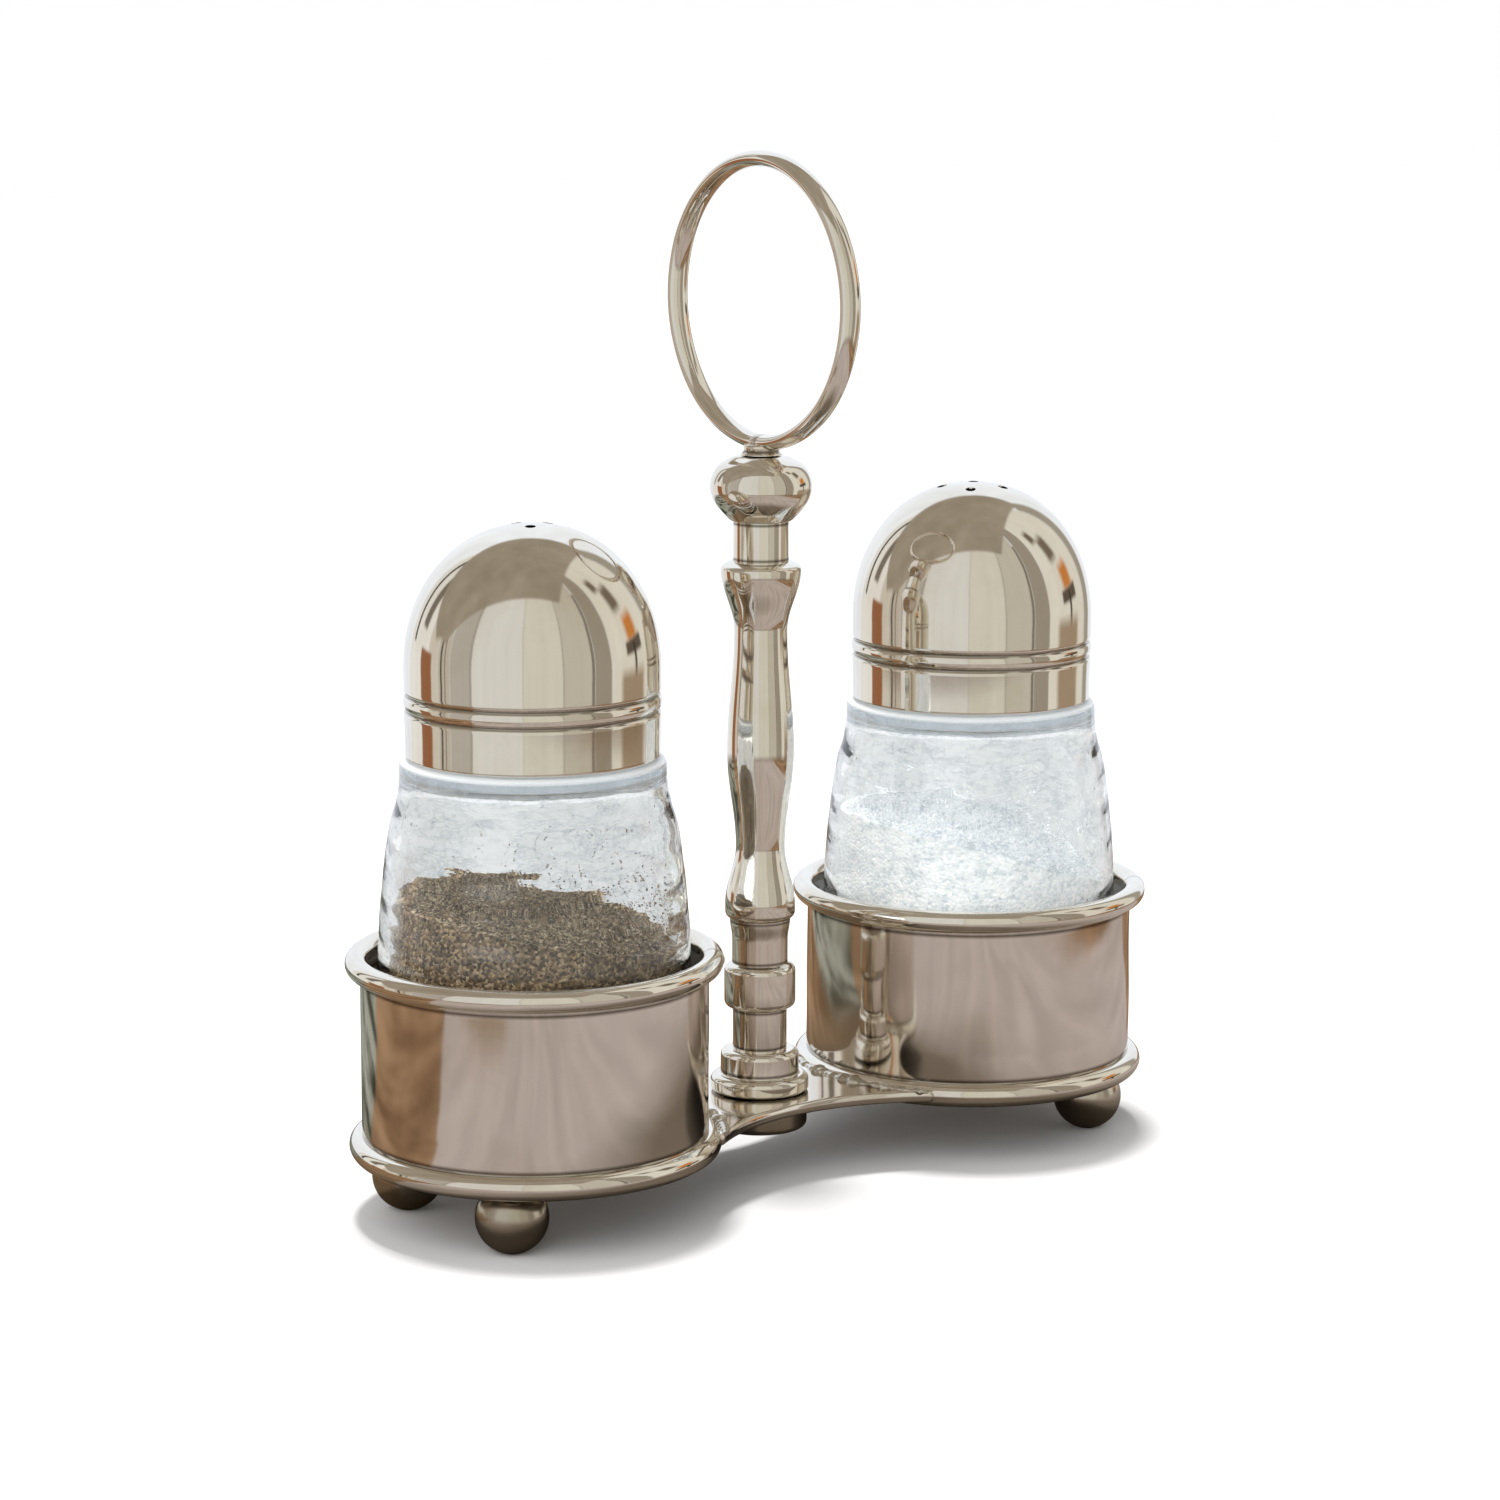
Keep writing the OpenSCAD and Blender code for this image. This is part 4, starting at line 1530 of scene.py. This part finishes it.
@dataclass
class Cap:
    """A domed screw cap with two grooves and sprinkle holes, its threaded liner and its seal."""

    side: Side
    hole_circle: float
    hole_count: int
    hole_turn: float
    centre_hole: bool
    wall: float = 0.7
    skirt_r: float = 22.5
    dome_r: float = 22.65
    skirt_z: float = 83.9
    dome_z: float = 99.2
    dome_h: float = 25.6
    power: float = 2.1
    grooves: tuple[float, float] = (92.2, 95.0)
    groove_half: float = 0.7
    groove_depth: float = 0.35
    bead: float = 0.12
    skirt_edge: float = 0.25
    hole_d: float = 1.9

    def build(self, bench: Bench) -> None:
        """Builds the dome, cuts its holes and dresses the liner and the seal.

        Args:
            bench: where the finished pieces go.
        """
        word = self.side.word
        self.x = float(Room.of(f"{word}_cap_dome").centre[0])
        nodes = [f"{word}_cap_dome"]
        shape = turned(np.vstack([self.outside(), self.inside()]), self.x, 224)
        dome = bench.add(f"{word}_domed_cap", shape, CAPPED, f"{word}_cap", "polished_nickel", nodes)
        self.cut_holes(dome)
        bench.dress(f"{word}_cap_liner", LINER)
        bench.dress(f"{word}_cap_seal", SILICONE)

    def curve(self, r: float, h: float, steps: int = 64) -> Array:
        """A quarter of a superellipse: r cos^(2/p) a across and h sin^(2/p) a up.

        Args:
            r: the curve's radius at its foot.
            h: the curve's height.
            steps: the number of steps in each stretch.

        Returns:
            Rows of (r, z).
        """
        a = np.linspace(0, math.pi / 2, steps + 1)
        across = r * np.clip(np.cos(a), 0, 1) ** (2 / self.power)
        across[-1] = 0
        return np.stack([across, self.dome_z + h * np.sin(a) ** (2 / self.power)], axis=1)

    def groove(self, z: float) -> Array:
        """A round-bottomed groove: half a cosine in and out.

        Args:
            z: the height of its middle.

        Returns:
            Rows of (r, z).
        """
        a = np.linspace(-1, 1, 13)
        depth = self.groove_depth * (1 + np.cos(np.pi * a)) / 2
        return np.stack([self.dome_r - depth, z + a * self.groove_half], axis=1)

    def outside(self) -> Array:
        """From the skirt's rolled lower edge up past the grooves and over the dome.

        Returns:
            Rows of (r, z).
        """
        low, r, edge = self.skirt_z, self.skirt_r, self.skirt_edge
        first, second = self.grooves
        middle = (first + second) / 2
        half = (second - first) / 2 - self.groove_half
        a = np.linspace(-1, 1, 11)[1:-1]
        bead = np.stack([self.dome_r + self.bead * np.cos(a * np.pi / 2), middle + a * half], axis=1)
        skirt_z = np.linspace(low + edge, first - self.groove_half, 24)[:-1]
        skirt_r = r + (self.dome_r - r) * np.linspace(0, 1, 24)[:-1] ** 2
        collar_z = np.linspace(second + self.groove_half, self.dome_z - 0.3, 8)
        return np.vstack([
            [[r - self.wall, low + edge]], arc((r - edge, low + edge), edge, -90, 0, 6)[:-1],
            np.stack([skirt_r, skirt_z], axis=1), self.groove(first), bead, self.groove(second),
            np.stack([np.full(8, self.dome_r), collar_z], axis=1),
            self.curve(self.dome_r, self.dome_h),
        ])

    def inside(self) -> Array:
        """The inner face, from under the dome's crown back down to the skirt's edge.

        Returns:
            Rows of (r, z).
        """
        bore = self.skirt_r - self.wall
        return np.vstack([
            self.curve(bore, self.dome_h - self.wall)[::-1], [[bore, self.skirt_z + self.skirt_edge]],
        ])

    def cut_holes(self, dome: bpy.types.Object) -> None:
        """Cuts the sprinkle holes with one exact Boolean, then keeps only its result.

        Args:
            dome: the cap's piece.
        """
        angles = np.radians(self.hole_turn + np.arange(self.hole_count) * 360 / self.hole_count)
        centres = [(self.hole_circle * math.cos(a), self.hole_circle * math.sin(a)) for a in angles]
        if self.centre_hole:
            centres.append((0.0, 0.0))
        low, high, r = self.dome_z + 10, self.dome_z + self.dome_h + 5, self.hole_d / 2
        drill = turned(np.array([[0, low], [r, low], [r, high], [0, high]]), 0, 32)
        points = [drill.points + [self.x + cx, cy, 0] for cx, cy in centres]
        drills = Shape(np.empty((0, 3)), [])
        for p in points:
            drills = drills + Shape(p, drill.faces)
        cutter = place("drills", drills.points * MM, drills.faces)
        cut = dome.modifiers.new("holes", "BOOLEAN")
        cut.operation = "DIFFERENCE"
        cut.solver = "EXACT"
        cut.object = cutter
        whole = dome.data
        seen = bpy.context.evaluated_depsgraph_get()
        dome.data = bpy.data.meshes.new_from_object(dome.evaluated_get(seen))
        dome.modifiers.clear()
        dome.data.name = whole.name
        bpy.data.objects.remove(cutter)
        bpy.data.meshes.remove(whole)
        dome.data.set_sharp_from_angle(angle=SHARP_ANGLE)


# ---------------------------------------------------------------- the studio


@dataclass(frozen=True)
class Patch:
    """A part of the studio's walls, by its bounds in degrees round and up, seen from the object."""

    left: float
    right: float
    low: float
    high: float
    colour: Colour
    soft: float = 1.5


@dataclass
class Studio:
    """A white sweep, soft light from above, a room for the metal to reflect, and the camera."""

    azimuth: float = -37.5
    pitch: float = 10.57
    roll: float = 0.13
    distance: float = 0.77088
    lens: float = 100.9
    target: tuple[float, float] = (-0.00192, 0.07889)
    sweep: float = 3.0
    table_half: float = 0.235
    table_end: float = 0.37
    key: tuple[float, ...] = (-0.05, 0.11, 1.0, 10.0, 2.5)
    fill: tuple[float, ...] = (-0.45, -0.75, 0.62, 70.0, 1.5)
    ambient: float = 0.5

    def axes(self) -> tuple[Vector, Vector]:
        """The level directions to the camera's right and from the camera to the object."""
        a = math.radians(self.azimuth)
        return Vector((math.cos(a), math.sin(a), 0)), Vector((-math.sin(a), math.cos(a), 0))

    def build(self) -> None:
        """Builds the floor, the lights, the room and the camera."""
        bpy.context.scene.view_settings.view_transform = "Standard"
        self.build_floor()
        self.build_light("key", *self.key)
        self.build_light("fill", *self.fill)
        self.build_room()
        self.build_camera()

    def build_floor(self) -> None:
        """A pale floor; in polished metal it shows as a wooden table top, and through glass it is painted a
        darker grey.
        """
        corners = np.array([(-1, -1, 0), (1, -1, 0), (1, 1, 0), (-1, 1, 0)]) * self.sweep
        floor = place("floor", corners, [(0, 1, 2, 3)])
        material = bpy.data.materials.new("pale floor")
        material.use_nodes = True
        graph = Graph(material.node_tree)
        colour, past_end = self.table_colour(graph)
        board = graph.node("ShaderNodeBsdfDiffuse", {}, {"Color": colour})
        table = graph.blend(past_end, board, graph.node("ShaderNodeBsdfTransparent"))
        # Painted shade: seen through the glass, the floor is a mid grey instead of white.
        pale = graph.mix(graph.ray("Transmission"), (0.9, 0.9, 0.905), (0.50, 0.515, 0.53))
        white = graph.node("ShaderNodeBsdfDiffuse", {}, {"Color": pale})
        graph.close("Material", graph.blend(graph.mirrored(), white, table))
        floor.data.materials.append(material)

    def table_colour(self, graph: Graph) -> tuple[Val, Val]:
        """A grey-rose board with brown wood past its edges, streaked along the view, with a painted shadow
        near its middle.

        Args:
            graph: the floor's graph.

        Returns:
            The colour, and a share that is 1 where the table has ended.
        """
        right, ahead = self.axes()
        where = graph.place()
        across, along = graph.along(where, right), graph.along(where, ahead)
        streaks = graph.noise(
            graph.node("ShaderNodeCombineXYZ", {}, {0: across * 38, 1: along * 7, 2: 0.0}), 1.0, 4, 0.6
        )
        board = graph.mix(streaks.over(0.5, 0.35), (0.27, 0.24, 0.225), (0.38, 0.335, 0.32))
        wood = graph.mix(streaks.over(0.5, 0.25), (0.12, 0.07, 0.038), (0.30, 0.195, 0.12))
        leaves = graph.mix(streaks.over(0.5, 0.12), (0.03, 0.033, 0.024), (0.26, 0.27, 0.235))
        front = (0 - along) + (streaks - 0.5) * 0.02
        left_edge = ((across + 0.053) * -0.643 - (front - 0.028) * 0.766).over(0, 0.003)
        right_edge = (across + (streaks - 0.5) * 0.06).over(self.table_half, 0.006)
        ground = graph.mix((left_edge + right_edge).clamped(), board, wood)
        lobe_x, lobe_y = (across + 0.16) / 0.075, (front - 0.21) / 0.022
        lobe = 1 - (lobe_x * lobe_x + lobe_y * lobe_y).over(1, 0.3)
        ground = graph.mix(lobe, ground, (0.20, 0.15, 0.10))
        leaf_side = ((across + 0.1385) * 0.472 - front - 0.0176).over(0, 0.006)
        shade = leaf_side * (1 - across.over(-0.08, 0.01))
        ground = graph.mix(shade, ground, leaves)
        reach = graph.node("ShaderNodeVectorMath", {"operation": "LENGTH"}, {0: where}, output="Value")
        # Painted shadow: the board darkens near the middle, where the caddy's shadow falls, and it also
        # darkens towards the table's end.
        painted_shadow_and_far_dark = (1 - reach.over(0.10, 0.06)) * 0.85 + reach.over(self.table_end - 0.04, 0.06) * 0.6
        ground = graph.mix(painted_shadow_and_far_dark.clamped(), ground, (0.085, 0.067, 0.045))
        return ground, reach.over(self.table_end, 0.09)

    def build_light(
        self, name: str, across: float, back: float, up: float, angle: float, power: float
    ) -> None:
        """A wide soft light far away, that the metal doesn't mirror.

        Args:
            name: the light's name.
            across: how far to the right it stands, as seen from the camera.
            back: how far behind the object it stands.
            up: how high it stands.
            angle: its width in degrees.
            power: its strength.
        """
        right, ahead = self.axes()
        data = bpy.data.lights.new(name, "SUN")
        data.angle = math.radians(angle)
        data.energy = power
        data.color = (1.0, 0.985, 0.965)
        lamp = bpy.data.objects.new(name, data)
        lamp.location = right * across + ahead * back + Vector((0, 0, up))
        lamp.rotation_euler = lamp.location.to_track_quat("Z", "Y").to_euler()
        lamp.visible_glossy = False
        lamp.visible_camera = False
        bpy.context.scene.collection.objects.link(lamp)

    def patches(self) -> list[Patch]:
        """The room: windows and frames to the left, panels ahead, a pale wall to the right.

        Returns:
            The patches, later ones over earlier ones.
        """
        grey, dark = (0.52, 0.49, 0.45), (0.035, 0.028, 0.022)
        return [
            Patch(-137, -104, -35, 60, (0.95, 0.95, 0.93)),
            Patch(-131, -128, 0, 45, dark, 1.0),
            Patch(-120, -112, 8, 34, (0.20, 0.17, 0.14), 2.0),
            Patch(-104, -90, -35, 62, (0.72, 0.68, 0.60)),
            Patch(-115, -99, -35, 1, (0.33, 0.13, 0.055)),
            Patch(-97, -94.5, 14, 40, dark, 1.0),
            Patch(-90, -76, -35, 64, (0.60, 0.55, 0.47)),
            Patch(-87, -85, -35, 52, dark, 0.8),
            Patch(-82, -81, -35, 30, (0.16, 0.13, 0.10), 0.8),
            Patch(-84, -78, 36, 56, (1.5, 1.55, 1.65), 2.0),
            Patch(-73, -71, -35, 50, (1.0, 1.0, 0.98), 1.0),
            Patch(-76, -53, -35, 60, grey, 2.0),
            Patch(-53, -5, -35, 80, (0.80, 0.80, 0.78), 2.0),
            Patch(-5, 31, -35, 80, (0.74, 0.73, 0.64), 1.0),
            Patch(-55, -52.5, -35, 80, (0.42, 0.39, 0.34), 1.0),
            Patch(-6, -4.8, -35, 80, (0.62, 0.60, 0.53), 0.8),
            Patch(29.5, 31.5, -35, 80, (0.46, 0.43, 0.37), 1.0),
            Patch(31, 59, -35, 80, (0.60, 0.57, 0.49), 1.5),
            Patch(57, 60, -35, 50, (0.22, 0.19, 0.15), 1.0),
            Patch(60, 78, -35, 80, (0.36, 0.32, 0.26), 2.0),
            Patch(78, 134, -35, 90, (0.85, 0.83, 0.75), 2.0),
            Patch(87, 96, 41, 51, (0.17, 0.13, 0.09), 4.0),
            Patch(95, 108, 24, 40, (0.18, 0.14, 0.10), 5.0),
            Patch(101, 115, 6, 19, (0.66, 0.24, 0.04), 5.0),
            Patch(97, 119, 1, 7, (0.10, 0.075, 0.055), 2.0),
            Patch(107, 110, -9, 5, dark, 0.8),
            Patch(90, 120, -35, -6, (0.40, 0.30, 0.21), 5.0),
            Patch(134, 147, -35, 50, (0.40, 0.37, 0.31), 4.0),
        ]

    def build_room(self) -> None:
        """The world: even white for the camera and for soft light, a room for the metal."""
        world = bpy.data.worlds.new("studio")
        world.use_nodes = True
        bpy.context.scene.world = world
        graph = Graph(world.node_tree)
        right, ahead = self.axes()
        way = graph.node("ShaderNodeTexCoord", output="Generated")
        r, f, u = graph.along(way, right), graph.along(way, -ahead), graph.up(way)
        wobble = (graph.noise(way, 2.2, 2) - 0.5) * 7
        round_ = r.angle_to(f) + wobble * 0.35
        level = u.angle_to((1 - u * u).clamped().root())
        fold = u.angle_to(f)
        room = graph.mix(level.over(0, 30), (0.98, 1.03, 1.12), (1.08, 1.16, 1.27))
        for patch in self.patches():
            inside = (
                round_.over(patch.left, patch.soft) * (1 - round_.over(patch.right, patch.soft))
                * level.over(patch.low, patch.soft) * (1 - level.over(patch.high, patch.soft))
            )
            room = graph.mix(inside, room, patch.colour)
        tone = graph.noise(way, 3.0, 2)
        ceiling = graph.mix(tone.over(0.5, 0.5), (0.31, 0.27, 0.21), (0.43, 0.38, 0.31))
        overhead = fold.over(54, 2.5) * (1 - fold.over(128, 3))
        between = r.over(-0.985, 0.01) * (1 - r.over(0.42, 0.03))
        room = graph.mix(overhead * between, room, ceiling)
        streaks = graph.node("ShaderNodeCombineXYZ", {}, {0: round_ * 0.12, 1: level * 0.012, 2: 0.0})
        room = graph.mix(graph.noise(streaks, 1.0, 3).over(0.5, 0.8) * 0.22, room, (0.30, 0.27, 0.23))
        through = graph.ray("Transmission")
        plain, bright, mirror = (
            graph.node("ShaderNodeBackground", {}, {"Color": graph.colour(colour), "Strength": strength})
            for colour, strength in (((1, 1, 1), self.ambient), ((1, 1, 1), 1.0), (room, 1.0))
        )
        sky = graph.blend((graph.ray("Camera") + through).clamped(), plain, bright)
        graph.close("World", graph.blend(graph.mirrored() + through * 0.2, sky, mirror))

    def build_camera(self) -> None:
        """A long lens a little above the caddy, to the left of its front."""
        right, ahead = self.axes()
        p, c = math.radians(self.pitch), math.radians(self.roll)
        forward = ahead * math.cos(p) - Vector((0, 0, math.sin(p)))
        up = right.cross(forward)
        side, top = right * math.cos(c) + up * math.sin(c), up * math.cos(c) - right * math.sin(c)
        data = bpy.data.cameras.new("camera")
        data.sensor_width = 36
        data.lens = self.lens
        data.clip_start, data.clip_end = 0.05, 20
        camera = bpy.data.objects.new("camera", data)
        point = right * self.target[0] + Vector((0, 0, self.target[1]))
        camera.matrix_world = Matrix.Translation(point - forward * self.distance) @ Matrix(
            (side, top, -forward)
        ).transposed().to_4x4()
        bpy.context.scene.collection.objects.link(camera)
        bpy.context.scene.camera = camera


def main() -> None:
    """Builds the studio and every piece, in order from the feet up."""
    logging.basicConfig(level=logging.INFO, format="%(message)s")
    Studio().build()
    bench = Bench()
    for side in Side:
        Cup(side).build(bench)
    Bridge().build(bench)
    Post().build(bench)
    Handle().build(bench)
    vessels = {side: Vessel(side) for side in Side}
    for vessel in vessels.values():
        vessel.build(bench)
    Heap(
        vessels[Side.PEPPER], PEPPER, "ground_pepper", level=56.0, slope=0.19, crown=0.002, lean=-37.5,
        grain=(0.12, 0.30), grain_shape=octahedron(), loose=4200, stuck=420, stuck_height=13.0, lumps=0.28,
    ).build(bench)
    Heap(
        vessels[Side.SALT], SALT, "table_salt", level=61.5, slope=0.27, crown=0.0085, lean=-37.5,
        grain=(0.12, 0.27), grain_shape=cube(), loose=5200, stuck=160, stuck_height=10.0, lumps=0.22,
    ).build(bench)
    Cap(Side.PEPPER, 3.2, 3, -128.0, False).build(bench)
    Cap(Side.SALT, 6.0, 5, 9.0, True).build(bench)
    LOG.info("%d new pieces", bench.count)


if __name__ == "__main__":
    main()
